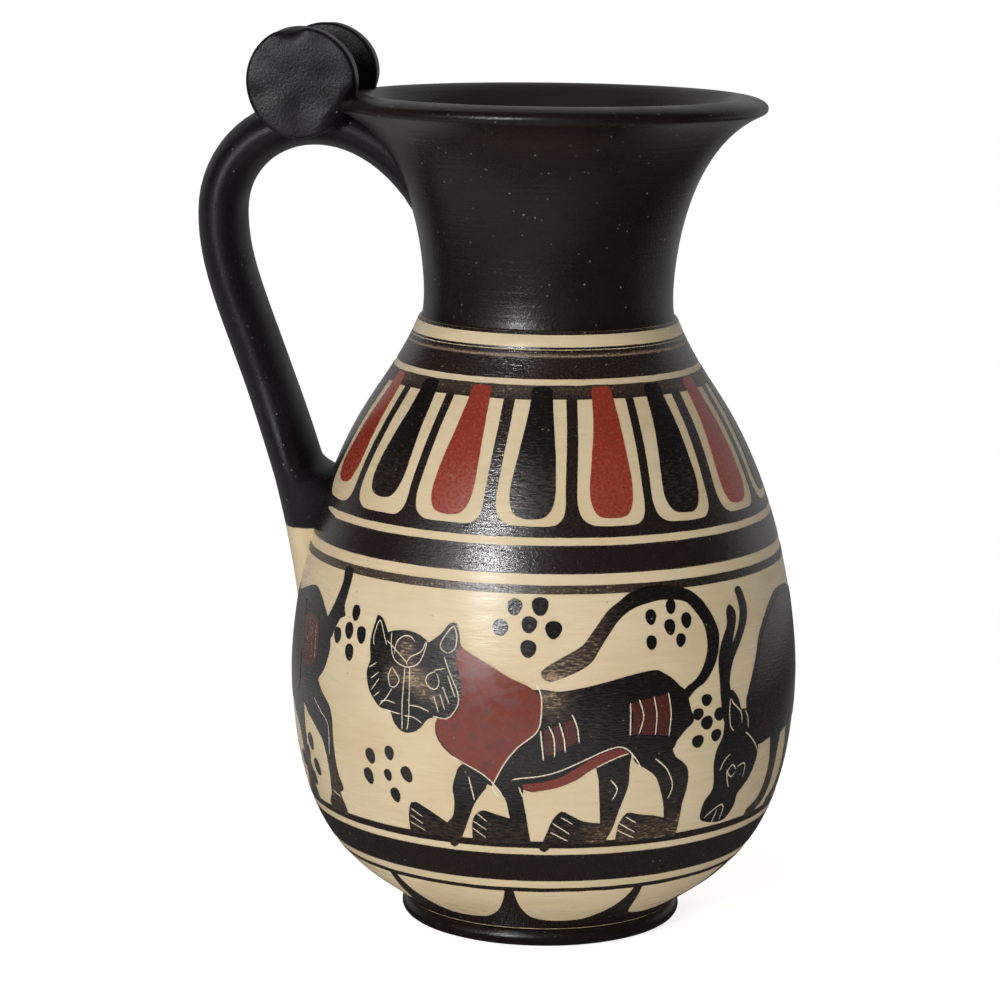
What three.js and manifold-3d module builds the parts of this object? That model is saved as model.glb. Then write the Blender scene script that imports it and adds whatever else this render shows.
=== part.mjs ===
// A wheel-thrown earthenware jug with a flaring neck, a high strap handle and two discs at the
// handle's top. It is made as a potter makes it: foot, belly, neck, collar coil, strap and discs
// are separate pieces, each seated on the next with a thin bed of slip between them.
// Millimetres, +Z up. Z = 0 is the standing plane, Z is the axis of the wheel, the handle is at -X.
import * as THREE from "three";
import { mergeVertices } from "three/addons/utils/BufferGeometryUtils.js";
import Module from "manifold-3d";

const wasm = await Module();
wasm.setup();

// Slip between two luted pieces
const LUTING = 0.3;

// Foot: a low turned disc, widest under its top edge
const FOOT_RADIUS = 38.6;
const FOOT_UNDERSIDE_RADIUS = 36.2;
const FOOT_HEIGHT = 4.7;
const FOOT_TOP_ROUNDING = 1.2;

// Belly: the wall leaves the foot at a lean, is upright at its widest and turns in at the shoulder
const BELLY_WALL = 5;
const BELLY_FLOOR = 7;
const BELLY_BASE_RADIUS = 37.5;
const BELLY_BASE_LEAN = THREE.MathUtils.degToRad(54);
const BELLY_BASE_EASE = 10.8;
const BELLY_RADIUS = 69.5;
const BELLY_LEVEL = 70;
const BELLY_LOWER_EASE = 54;
const BELLY_UPPER_EASE = 6;
const SHOULDER_RADIUS = 47;
const SHOULDER_LEVEL = 146;
const SHOULDER_LEAN = THREE.MathUtils.degToRad(34);
const SHOULDER_LOWER_EASE = 37;
const SHOULDER_UPPER_EASE = 9.5;
const JOINT_LEVEL = 162.6;
const JOINT_LEAN = THREE.MathUtils.degToRad(25);
const JOINT_EASE = 5.2;

// Neck: stands on the belly's rim, with a spigot that laps inside the belly's mouth
const NECK_RADIUS = 33.9;
const NECK_WAIST_LEVEL = 173.3;
const NECK_BORE_RADIUS = 29.2;
const NECK_WAIST_EASE = 4;
const NECK_BORE_EASE = 30;
const SPIGOT_DEPTH = 5;
const SPIGOT_WALL = 3;
const LIP_RADIUS = 59;
const LIP_EDGE_LEVEL = 223.2;
const LIP_FLARE_LEAN = THREE.MathUtils.degToRad(24);
const LIP_FLARE_EASE = 24;
const LIP_EDGE_ROUNDING = 0.7;
const LIP_CREST_RADIUS = 51.5;
const LIP_LEVEL = 227;
const LIP_CREST_EASE = 6;

// Collar: the coil over the seam between belly and neck, smoothed to a slope
const COLLAR_WIDTH = 2.8;
const COLLAR_TOP_WIDTH = 0.8;
const COLLAR_HEIGHT = 4.1;

// Handle: a pulled strap, up and out from the neck, down to the shoulder and smeared out as a tail
const HANDLE_WIDTH = 26.5;
const HANDLE_THICKNESS = 13.1;
const HANDLE_ROUNDNESS = 2.6;
const HANDLE_TOP_DROP = 24.3;
const HANDLE_TOP_SINK = 5.3;
const HANDLE_TOP_BURIED = 12;
const HANDLE_TOP_LEAN = THREE.MathUtils.degToRad(52.2);
const HANDLE_TOP_EASE = 35.5;
const HANDLE_REACH = 89.4;
const HANDLE_REACH_LEVEL = 193.7;
const HANDLE_BEND_EASE = 24.9;
const HANDLE_ARM_EASE = 18;
const HANDLE_ROOT_LEVEL = 125.4;
const HANDLE_ROOT_STANDOFF = 11.2;
const HANDLE_ROOT_LEAN = THREE.MathUtils.degToRad(17.1);
const HANDLE_ROOT_EASE = 40;
const HANDLE_ROOT_WIDTH = 33;
const HANDLE_WEB = 9;
const HANDLE_WEB_LEVEL = 125;
const HANDLE_WEB_HEIGHT = 9;
const HANDLE_SPREAD_LEVEL = 152;
const HANDLE_TAIL_LEVEL = 84;
const HANDLE_TAIL_SINK = 6.8;
const HANDLE_TAIL_LEAN = THREE.MathUtils.degToRad(4);
const HANDLE_TAIL_EASE = 9.5;
const HANDLE_TAIL_WIDTH = 20;

// Discs: one against each side of the strap's top, resting over the lip, the back one smaller
const DISC_RADIUS = 15.2;
const DISC_THICKNESS = 7;
const DISC_EDGE_ROUNDING = 2;
const DISC_REACH = 64.6;
const DISC_LEVEL = 229.6;
const BACK_DISC_RADIUS = 14.1;
const BACK_DISC_REACH = 62.5;
const BACK_DISC_LEVEL = 230.5;

// Fineness of the facets
const TURN_STEPS = 56;
const DISC_STEPS = 32;
const CURVE_STEPS = 8;
const INSIDE_STEPS = 5;
const STRAP_STEPS = 12;
const STRAP_SIDES = 18;
const EDGE_STEPS = 3;
const MERGE_DISTANCE = 1e-4;

const at = (radius, level) => new THREE.Vector2(radius, level);

// A cubic curve in the radius and height plane, leaving and arriving along two directions
function sweep(from, leave, leaveEase, to, arrive, arriveEase, steps) {
  const first = from.clone().addScaledVector(leave, leaveEase);
  const second = to.clone().addScaledVector(arrive, -arriveEase);
  return new THREE.CubicBezierCurve(from, first, second, to).getPoints(steps);
}

// A quarter of an ellipse from one point to another, leaving the first along the given axis
function quarter(from, to, leaveUpright, steps) {
  const points = [];
  for (let step = 0; step <= steps; step += 1) {
    const angle = (step / steps) * (Math.PI / 2);
    const early = 1 - Math.cos(angle);
    const late = Math.sin(angle);
    const across = leaveUpright ? early : late;
    const along = leaveUpright ? late : early;
    points.push(at(from.x + (to.x - from.x) * across, from.y + (to.y - from.y) * along));
  }
  return points;
}

const UPRIGHT = at(0, 1);
const OUTWARD = at(1, 0);
const leaning = (lean, side) => at(side * Math.sin(lean), Math.cos(lean));
const rising = (lean) => at(Math.cos(lean), Math.sin(lean));

// Drops points that repeat the one before
function distinct(points) {
  return points.filter((p, i) => i === 0 || p.distanceTo(points[i - 1]) > MERGE_DISTANCE);
}

// The same line moved sideways, outward where the distance is positive
function shifted(points, distance) {
  return points.map((p, i) => {
    const before = points[Math.max(i - 1, 0)];
    const after = points[Math.min(i + 1, points.length - 1)];
    const along = after.clone().sub(before).normalize();
    return at(p.x + along.y * distance, p.y - along.x * distance);
  });
}

// Radius of a rising line at a height
function radiusAt(points, level) {
  const next = points.findIndex((p) => p.y >= level);
  const high = points[Math.max(next, 1)];
  const low = points[Math.max(next, 1) - 1];
  return low.x + ((high.x - low.x) * (level - low.y)) / (high.y - low.y);
}

// A geometry with shared corners, only positions and no collapsed triangles
function closed(geometry) {
  geometry.deleteAttribute("normal");
  geometry.deleteAttribute("uv");
  const merged = mergeVertices(geometry, MERGE_DISTANCE);
  const corners = merged.index.array;
  const kept = [];
  for (let i = 0; i < corners.length; i += 3) {
    const [a, b, c] = [corners[i], corners[i + 1], corners[i + 2]];
    if (a !== b && b !== c && c !== a) kept.push(a, b, c);
  }
  merged.setIndex(kept);
  return merged;
}

// A solid of revolution about Z
function turned(profile, steps) {
  const geometry = new THREE.LatheGeometry(distinct(profile), steps);
  geometry.rotateX(Math.PI / 2);
  return closed(geometry);
}

function solid(geometry) {
  const vertProperties = new Float32Array(geometry.attributes.position.array);
  const triVerts = new Uint32Array(geometry.index.array);
  return new wasm.Manifold(new wasm.Mesh({ numProp: 3, vertProperties, triVerts }));
}

function shape(body) {
  const mesh = body.getMesh();
  const geometry = new THREE.BufferGeometry();
  geometry.setAttribute("position", new THREE.BufferAttribute(mesh.vertProperties, 3));
  geometry.setIndex(new THREE.BufferAttribute(mesh.triVerts, 1));
  return geometry;
}

// Belly, outside: base to widest, widest to shoulder, shoulder to the rim that carries the neck
const baseLevel = FOOT_HEIGHT + LUTING;
const rimRadius = NECK_RADIUS + LUTING + COLLAR_WIDTH;
const base = at(BELLY_BASE_RADIUS, baseLevel);
const widest = at(BELLY_RADIUS, BELLY_LEVEL);
const shoulder = at(SHOULDER_RADIUS, SHOULDER_LEVEL);
const rim = at(rimRadius, JOINT_LEVEL);
const shoulderWay = leaning(SHOULDER_LEAN, -1);
function bellyLine(steps) {
  const joint = leaning(JOINT_LEAN, -1);
  return distinct([
    ...sweep(base, rising(BELLY_BASE_LEAN), BELLY_BASE_EASE, widest, UPRIGHT, BELLY_LOWER_EASE, steps),
    ...sweep(widest, UPRIGHT, BELLY_UPPER_EASE, shoulder, shoulderWay, SHOULDER_LOWER_EASE, steps),
    ...sweep(shoulder, shoulderWay, SHOULDER_UPPER_EASE, rim, joint, JOINT_EASE, EDGE_STEPS),
  ]);
}
const bellyOuter = bellyLine(CURVE_STEPS);

// Belly, inside: the same line one wall further in, a level floor and an upright mouth
const floorLevel = baseLevel + BELLY_FLOOR;
const mouthRadius = NECK_BORE_RADIUS + SPIGOT_WALL + LUTING;
const bellyInside = shifted(bellyLine(INSIDE_STEPS), -BELLY_WALL);
const mouthBottom = JOINT_LEVEL - SPIGOT_DEPTH - LUTING;
const inCavity = (p) => p.y > floorLevel && p.y < mouthBottom && p.x > mouthRadius;
const bellyInner = bellyInside.filter(inCavity);
const belly = turned(
  [
    at(0, baseLevel),
    ...bellyOuter,
    at(mouthRadius, JOINT_LEVEL),
    at(mouthRadius, mouthBottom),
    ...bellyInner.reverse(),
    at(radiusAt(bellyInside, floorLevel), floorLevel),
    at(0, floorLevel),
  ],
  TURN_STEPS,
);

// Neck, outside: upright to the waist, flaring to the lip's edge and rolled over to the crest
const seatLevel = JOINT_LEVEL + LUTING;
const waist = at(NECK_RADIUS, NECK_WAIST_LEVEL);
const flareWay = rising(LIP_FLARE_LEAN);
const lipEdge = at(LIP_RADIUS, LIP_EDGE_LEVEL);
const flareEnd = lipEdge.clone().addScaledVector(flareWay, -LIP_EDGE_ROUNDING);
const lipCrest = at(LIP_CREST_RADIUS, LIP_LEVEL);
const neckOuter = distinct([
  at(NECK_RADIUS, seatLevel),
  ...sweep(waist, UPRIGHT, NECK_WAIST_EASE, flareEnd, flareWay, LIP_FLARE_EASE, CURVE_STEPS),
  ...quarter(lipEdge, lipCrest, true, EDGE_STEPS),
]);

// Neck, inside: down from the crest into the bore, and the spigot that laps into the belly's mouth
const boreTop = at(NECK_BORE_RADIUS, NECK_WAIST_LEVEL);
const spigotRadius = NECK_BORE_RADIUS + SPIGOT_WALL;
const spigotBottom = JOINT_LEVEL - SPIGOT_DEPTH;
const neckInner = sweep(
  boreTop, UPRIGHT, NECK_BORE_EASE, lipCrest, OUTWARD, LIP_CREST_EASE, INSIDE_STEPS,
);
const neckLoop = [
  at(spigotRadius, spigotBottom),
  at(spigotRadius, seatLevel),
  ...neckOuter,
  ...neckInner.reverse(),
  at(NECK_BORE_RADIUS, spigotBottom),
  at(spigotRadius, spigotBottom),
];
const neck = turned(neckLoop, TURN_STEPS);

// Collar coil: sits on the belly's rim round the neck and slopes in to its narrow top
const collarBore = NECK_RADIUS + LUTING;
const collarTop = seatLevel + COLLAR_HEIGHT;
const neckCollar = turned(
  [
    at(collarBore, seatLevel),
    at(rimRadius, seatLevel),
    at(collarBore + COLLAR_TOP_WIDTH, collarTop),
    at(collarBore, collarTop),
    at(collarBore, seatLevel),
  ],
  TURN_STEPS,
);

// Foot disc: flat underside, curved side, rounded top edge and a flat top under the belly
const footWidest = at(FOOT_RADIUS, FOOT_HEIGHT - FOOT_TOP_ROUNDING);
const footTopEdge = at(FOOT_RADIUS - FOOT_TOP_ROUNDING, FOOT_HEIGHT);
const footDisc = turned(
  [
    at(0, 0),
    ...quarter(at(FOOT_UNDERSIDE_RADIUS, 0), footWidest, false, EDGE_STEPS),
    ...quarter(footWidest, footTopEdge, true, EDGE_STEPS),
    at(0, FOOT_HEIGHT),
  ],
  TURN_STEPS,
);

// The belly and the neck as full bodies, one bed of slip larger, to seat what is luted on them
function seat(line) {
  const grown = shifted(line, LUTING);
  const bottom = grown[0];
  const top = grown[grown.length - 1];
  return solid(turned([at(0, bottom.y), ...grown, at(0, top.y)], TURN_STEPS));
}
const bellySeat = seat(bellyOuter);
const neckSeat = seat(neckOuter);

// The strap's middle line: up and out from the neck, over the bend, down the arm and along the tail
const handleTop = LIP_LEVEL - HANDLE_TOP_DROP;
const start = at(radiusAt(neckOuter, handleTop) - HANDLE_TOP_SINK, handleTop);
const topWay = rising(HANDLE_TOP_LEAN);
const buried = start.clone().addScaledVector(topWay, -HANDLE_TOP_BURIED);
const bend = at(HANDLE_REACH, HANDLE_REACH_LEVEL);
const root = at(radiusAt(bellyOuter, HANDLE_ROOT_LEVEL) + HANDLE_ROOT_STANDOFF, HANDLE_ROOT_LEVEL);
const tail = at(radiusAt(bellyOuter, HANDLE_TAIL_LEVEL) - HANDLE_TAIL_SINK, HANDLE_TAIL_LEVEL);
const DOWN = at(0, -1);
const rootWay = leaning(HANDLE_ROOT_LEAN, 1).negate();
const tailWay = leaning(HANDLE_TAIL_LEAN, 1).negate();
const over = sweep(start, topWay, HANDLE_TOP_EASE, bend, DOWN, HANDLE_BEND_EASE, STRAP_STEPS);
const arm = sweep(bend, DOWN, HANDLE_ARM_EASE, root, rootWay, HANDLE_ROOT_EASE, STRAP_STEPS);
const smear = sweep(root, rootWay, HANDLE_TAIL_EASE, tail, tailWay, HANDLE_TAIL_EASE, STRAP_STEPS);

// The strap's width at each point of its middle line: even, spread at the root, drawn in at the tail.
// The web is the clay thumbed into the corner between the arm's inner side and the belly.
const spread = THREE.MathUtils.smoothstep;
const webAt = (level) => HANDLE_WEB * spread(-level, -HANDLE_WEB_LEVEL, HANDLE_WEB_HEIGHT - HANDLE_WEB_LEVEL);
const strap = [
  ...[buried, ...over].map((p) => ({ p, width: HANDLE_WIDTH, web: 0 })),
  ...arm.slice(1).map((p) => {
    const share = spread(-p.y, -HANDLE_SPREAD_LEVEL, -HANDLE_ROOT_LEVEL);
    return { p, width: THREE.MathUtils.lerp(HANDLE_WIDTH, HANDLE_ROOT_WIDTH, share), web: webAt(p.y) };
  }),
  ...smear.slice(1).map((p) => {
    const share = spread(-p.y, -HANDLE_ROOT_LEVEL, -HANDLE_TAIL_LEVEL);
    return { p, width: THREE.MathUtils.lerp(HANDLE_ROOT_WIDTH, HANDLE_TAIL_WIDTH, share), web: webAt(p.y) };
  }),
];

// Rounded strap sections joined along the middle line, closed by a point at each end
function strapBody(stations) {
  const positions = [];
  const triangles = [];
  const rounded = (value) => Math.sign(value) * Math.abs(value) ** (2 / HANDLE_ROUNDNESS);
  stations.forEach(({ p, width, web }, i) => {
    const before = stations[Math.max(i - 1, 0)].p;
    const after = stations[Math.min(i + 1, stations.length - 1)].p;
    const along = after.clone().sub(before).normalize();
    for (let side = 0; side < STRAP_SIDES; side += 1) {
      const angle = (side / STRAP_SIDES) * 2 * Math.PI;
      const across = rounded(Math.cos(angle));
      const thick = across * (HANDLE_THICKNESS / 2 + (across > 0 ? web : 0));
      const wide = (rounded(Math.sin(angle)) * width) / 2;
      positions.push(-(p.x + along.y * thick), wide, p.y - along.x * thick);
    }
  });
  for (let i = 0; i + 1 < stations.length; i += 1) {
    for (let side = 0; side < STRAP_SIDES; side += 1) {
      const next = (side + 1) % STRAP_SIDES;
      const [a, b] = [i * STRAP_SIDES + side, i * STRAP_SIDES + next];
      const [c, d] = [a + STRAP_SIDES, b + STRAP_SIDES];
      triangles.push(a, d, b, a, c, d);
    }
  }
  [0, stations.length - 1].forEach((i) => {
    const centre = positions.length / 3;
    positions.push(-stations[i].p.x, 0, stations[i].p.y);
    for (let side = 0; side < STRAP_SIDES; side += 1) {
      const a = i * STRAP_SIDES + side;
      const b = i * STRAP_SIDES + ((side + 1) % STRAP_SIDES);
      if (i === 0) triangles.push(centre, a, b);
      else triangles.push(centre, b, a);
    }
  });
  const geometry = new THREE.BufferGeometry();
  geometry.setAttribute("position", new THREE.Float32BufferAttribute(positions, 3));
  geometry.setIndex(triangles);
  return geometry;
}
const handle = shape(solid(strapBody(strap)).subtract(bellySeat).subtract(neckSeat));

// A disc with rounded edges, its inner face one bed of slip from the strap's side, cut to sit on the lip
function handleDisc(side, radius, reach, level) {
  const half = DISC_THICKNESS / 2;
  const flat = radius - DISC_EDGE_ROUNDING;
  const body = turned(
    [
      at(0, -half),
      ...quarter(at(flat, -half), at(radius, -half + DISC_EDGE_ROUNDING), false, EDGE_STEPS),
      ...quarter(at(radius, half - DISC_EDGE_ROUNDING), at(flat, half), true, EDGE_STEPS),
      at(0, half),
    ],
    DISC_STEPS,
  );
  body.rotateX(Math.PI / 2);
  body.translate(-reach, side * (HANDLE_WIDTH / 2 + LUTING + half), level);
  return shape(solid(body).subtract(neckSeat));
}

const fired = (color, roughness) => new THREE.MeshStandardMaterial({ color, roughness, metalness: 0 });

const jug = new THREE.Group();
function place(name, geometry, material) {
  const mesh = new THREE.Mesh(geometry, material);
  mesh.name = name;
  jug.add(mesh);
}
place("foot_disc", footDisc, fired(0x2b2423, 0.5));
place("belly", belly, fired(0xdcc69c, 0.7));
place("neck", neck, fired(0x282324, 0.45));
place("neck_collar", neckCollar, fired(0xd9c49b, 0.7));
place("handle", handle, fired(0x2a2527, 0.45));
const discFront = handleDisc(-1, DISC_RADIUS, DISC_REACH, DISC_LEVEL);
const discBack = handleDisc(1, BACK_DISC_RADIUS, BACK_DISC_REACH, BACK_DISC_LEVEL);
place("disc_front", discFront, fired(0x2b2628, 0.45));
place("disc_back", discBack, fired(0x2b2628, 0.45));

export default jug;
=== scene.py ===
import math

import bpy
import numpy as np
from mathutils import Matrix, Vector, noise
from mathutils.geometry import delaunay_2d_cdt


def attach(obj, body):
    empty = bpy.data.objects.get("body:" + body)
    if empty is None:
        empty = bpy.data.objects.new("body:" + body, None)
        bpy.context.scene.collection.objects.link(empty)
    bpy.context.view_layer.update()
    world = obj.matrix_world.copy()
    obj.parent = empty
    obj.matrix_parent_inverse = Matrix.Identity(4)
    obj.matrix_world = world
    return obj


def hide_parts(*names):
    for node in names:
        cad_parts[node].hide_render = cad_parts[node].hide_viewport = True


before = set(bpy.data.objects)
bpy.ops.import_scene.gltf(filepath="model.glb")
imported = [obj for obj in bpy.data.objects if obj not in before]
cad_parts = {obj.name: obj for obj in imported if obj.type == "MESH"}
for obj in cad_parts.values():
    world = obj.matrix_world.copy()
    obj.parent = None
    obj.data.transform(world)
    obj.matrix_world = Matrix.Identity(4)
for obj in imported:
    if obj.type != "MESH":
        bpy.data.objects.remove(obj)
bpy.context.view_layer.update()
scene = bpy.context.scene
scene.view_settings.view_transform = "Standard"

# Sizes are in millimetres, as in the part's source, and become metres where a mesh is made
MM = 0.001

# Slip between two luted pieces
LUTING = 0.3

# Foot: a low turned disc, widest under its top edge
FOOT_RADIUS = 38.6
FOOT_UNDERSIDE_RADIUS = 36.2
FOOT_HEIGHT = 4.7
FOOT_TOP_ROUNDING = 2.4
FOOT_SMEAR = 0.7
FOOT_SMEAR_LIFT = 0.2
FOOT_SMEAR_INSET = 1

# Belly: leaves the foot at a lean, is upright at its widest and turns in at the shoulder
BELLY_WALL = 5
BELLY_FLOOR = 7
BELLY_BASE_RADIUS = 37.5
BELLY_BASE_LEAN = math.radians(54)
BELLY_BASE_EASE = 10.8
BELLY_RADIUS = 69.5
BELLY_LEVEL = 70
BELLY_LOWER_EASE = 54
BELLY_UPPER_EASE = 6
SHOULDER_RADIUS = 47
SHOULDER_LEVEL = 146
SHOULDER_LEAN = math.radians(34)
SHOULDER_LOWER_EASE = 37
SHOULDER_UPPER_EASE = 9.5
JOINT_LEVEL = 162.6
JOINT_LEAN = math.radians(25)
JOINT_EASE = 5.2

# Neck: a flared base over the collar, a waist, and a lip that rolls over to its crest
NECK_RADIUS = 33.9
NECK_BASE_RADIUS = 34.8
NECK_BASE_LEVEL = 166.7
NECK_WAIST_LEVEL = 173.3
NECK_BORE_RADIUS = 29.2
NECK_WAIST_EASE = 4
NECK_BORE_EASE = 30
SPIGOT_DEPTH = 5
SPIGOT_WALL = 3
LIP_RADIUS = 59
LIP_EDGE_LEVEL = 223.2
LIP_FLARE_LEAN = math.radians(24)
LIP_FLARE_EASE = 24
LIP_EDGE_ROUNDING = 2.2
LIP_EDGE_EASE = 1.32
LIP_NOSE_SETBACK = 0.5
LIP_NOSE_RISE = 1.0
LIP_CREST_RADIUS = 51.5
LIP_LEVEL = 227
LIP_CREST_EASE = 6

# Collar: the coil over the seam between belly and neck, smoothed to a slope and down over the belly's rim
COLLAR_WIDTH = 2.8
COLLAR_TOP_WIDTH = 0.8
COLLAR_HEIGHT = 4.1
COLLAR_SMEAR = 0.7
COLLAR_CROWN = 0.25

# Handle: a pulled strap, up and out from the neck, down to the shoulder and smeared out as a tail
HANDLE_WIDTH = 26.5
HANDLE_THICKNESS = 13.1
HANDLE_ROUNDNESS = 2.05
HANDLE_TOP_DROP = 24.3
HANDLE_TOP_SINK = 5.3
HANDLE_TOP_BURIED = 12
HANDLE_TOP_LEAN = math.radians(52.2)
HANDLE_TOP_EASE = 35.5
HANDLE_REACH = 89.4
HANDLE_REACH_LEVEL = 193.7
HANDLE_BEND_EASE = 24.9
HANDLE_ARM_EASE = 18
HANDLE_ROOT_LEVEL = 125.4
HANDLE_ROOT_STANDOFF = 11.2
HANDLE_ROOT_LEAN = math.radians(17.1)
HANDLE_ROOT_EASE = 40
HANDLE_ROOT_WIDTH = 33
HANDLE_WEB = 9
HANDLE_WEB_LEVEL = 125
HANDLE_WEB_HEIGHT = 9
HANDLE_SPREAD_LEVEL = 152
HANDLE_TAIL_LEVEL = 84
HANDLE_TAIL_SINK = 6.8
HANDLE_TAIL_LEAN = math.radians(4)
HANDLE_TAIL_EASE = 9.5
HANDLE_TAIL_WIDTH = 20
HANDLE_SLIP_LEVEL = 108.8
HANDLE_END_COVER = 2.5

# Discs: one against each side of the strap's top, resting over the lip, the back one smaller
DISC_RADIUS = 15.2
DISC_THICKNESS = 7
DISC_EDGE_ROUNDING = 1.1
DISC_REACH = 64.6
DISC_LEVEL = 229.6
BACK_DISC_RADIUS = 14.1
BACK_DISC_REACH = 62.5
BACK_DISC_LEVEL = 230.5

# Fineness of the facets
TURN_STEPS = 160
CURVE_STEPS = 26
EDGE_STEPS = 6
STRAP_STEPS = 26
STRAP_SIDES = 40
DISC_STEPS = 72
DISC_RINGS = 8
SAME_POINT = 0.001
MERGE_DISTANCE = 0.00001
SHARP_ANGLE = math.radians(50)


def linear(code):
    """A colour written as sRGB hex, as the linear colour that a socket takes."""
    parts = [int(code[i:i + 2], 16) / 255 for i in (1, 3, 5)]
    return [c / 12.92 if c <= 0.04045 else ((c + 0.055) / 1.055) ** 2.4 for c in parts] + [1.0]


def to_a_metre(*sizes):
    """How many marks of a size in millimetres lie along a metre, which is a pattern's scale."""
    scales = [1 / (size * MM) for size in sizes]
    return scales if len(scales) > 1 else scales[0]


def add(tree, kind, settings=None, inputs=None):
    """A node with its settings, and its inputs set to values or joined to other nodes.

    A node given as an input stands for its first output."""
    node = tree.nodes.new(kind)
    for name, value in (settings or {}).items():
        setattr(node, name, value)
    for name, value in (inputs or {}).items():
        if isinstance(value, bpy.types.Node):
            value = value.outputs[0]
        if isinstance(value, bpy.types.NodeSocket):
            tree.links.new(value, node.inputs[name])
        else:
            node.inputs[name].default_value = value
    return node


# Settings that many nodes share, and the places of the colour sockets on a Mix node
SMOOTH = {"interpolation_type": "SMOOTHSTEP"}
COLOURS = {"data_type": "RGBA"}
AT_POINTS = {"data_type": "FLOAT_VECTOR", "domain": "POINT"}
LARGER = {"operation": "MAXIMUM"}
TIMES = {"operation": "MULTIPLY"}
TIMES_PLUS = {"operation": "MULTIPLY_ADD"}
MIX_A, MIX_B, MIX_RESULT = 6, 7, 2

# Photograph's camera: where it stands, how it is turned, and its lens and sensor in millimetres
CAMERA_PLACE = Vector((78.28, -943.86, 286.60)) * MM
CAMERA_AZIMUTH = math.radians(5.5)
CAMERA_PITCH = 0.1786
CAMERA_ROLL = 0.0115
CAMERA_LENS = 125.92
CAMERA_SENSOR = 36


def make_camera():
    right = Vector((math.cos(CAMERA_AZIMUTH), math.sin(CAMERA_AZIMUTH), 0))
    ahead = Vector((-math.sin(CAMERA_AZIMUTH), math.cos(CAMERA_AZIMUTH), 0))
    upright = Vector((0, 0, 1))
    forward = ahead * math.cos(CAMERA_PITCH) - upright * math.sin(CAMERA_PITCH)
    top = ahead * math.sin(CAMERA_PITCH) + upright * math.cos(CAMERA_PITCH)
    turn_c, turn_s = math.cos(CAMERA_ROLL), math.sin(CAMERA_ROLL)
    side = right * turn_c + top * turn_s
    over = top * turn_c - right * turn_s
    data = bpy.data.cameras.new("camera")
    data.lens = CAMERA_LENS
    data.sensor_width = CAMERA_SENSOR
    camera = bpy.data.objects.new("camera", data)
    scene.collection.objects.link(camera)
    turned_so = Matrix((side, over, -forward)).transposed().to_4x4()
    camera.matrix_world = Matrix.Translation(CAMERA_PLACE) @ turned_so
    scene.camera = camera


make_camera()

# Studio, in metres: a pale floor that keeps the shadow near the jug and runs out into a white background
FLOOR_RADIUS = 2.4
FLOOR_FADE_START = 0.12
FLOOR_FADE_END = 0.42
FLOOR_LIFT = 0.80
# How much the paper glows onto the jug: painted bounce light, not a lamp
FLOOR_BOUNCE_GLOW = 0.25

# What the slip mirrors: the lit paper near the jug, the paper well behind it and the sweep overhead
MIRRORED_SHARE = 0.04
MIRRORED_NEAR = 0.34
MIRRORED_NEAR_REACH = 0.25
MIRRORED_FAR_REACH = 0.7
# Painted shade in what the slip mirrors of the floor: at the jug's foot and on the side where its shadow
# falls
CONTACT_SHADE_START = 0.08
CONTACT_SHADE_END = 0.24
SHADE_START = 0.02
SHADE_END = 0.24
MIRRORED_BEHIND = 0.34
BEHIND_START = 0.02
BEHIND_END = 0.2
BEHIND_NEAREST = 0.40
BEHIND_FULL = 0.75
MIRRORED_OVERHEAD = 0.3
SWEEP_START = 0.2
SWEEP_FULL = 0.7
OVERHEAD_START = 0.15
OVERHEAD_FULL = 0.7
ROOM_LIGHT = 0.13
ROOM_MIRRORED = 0.03


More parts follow.
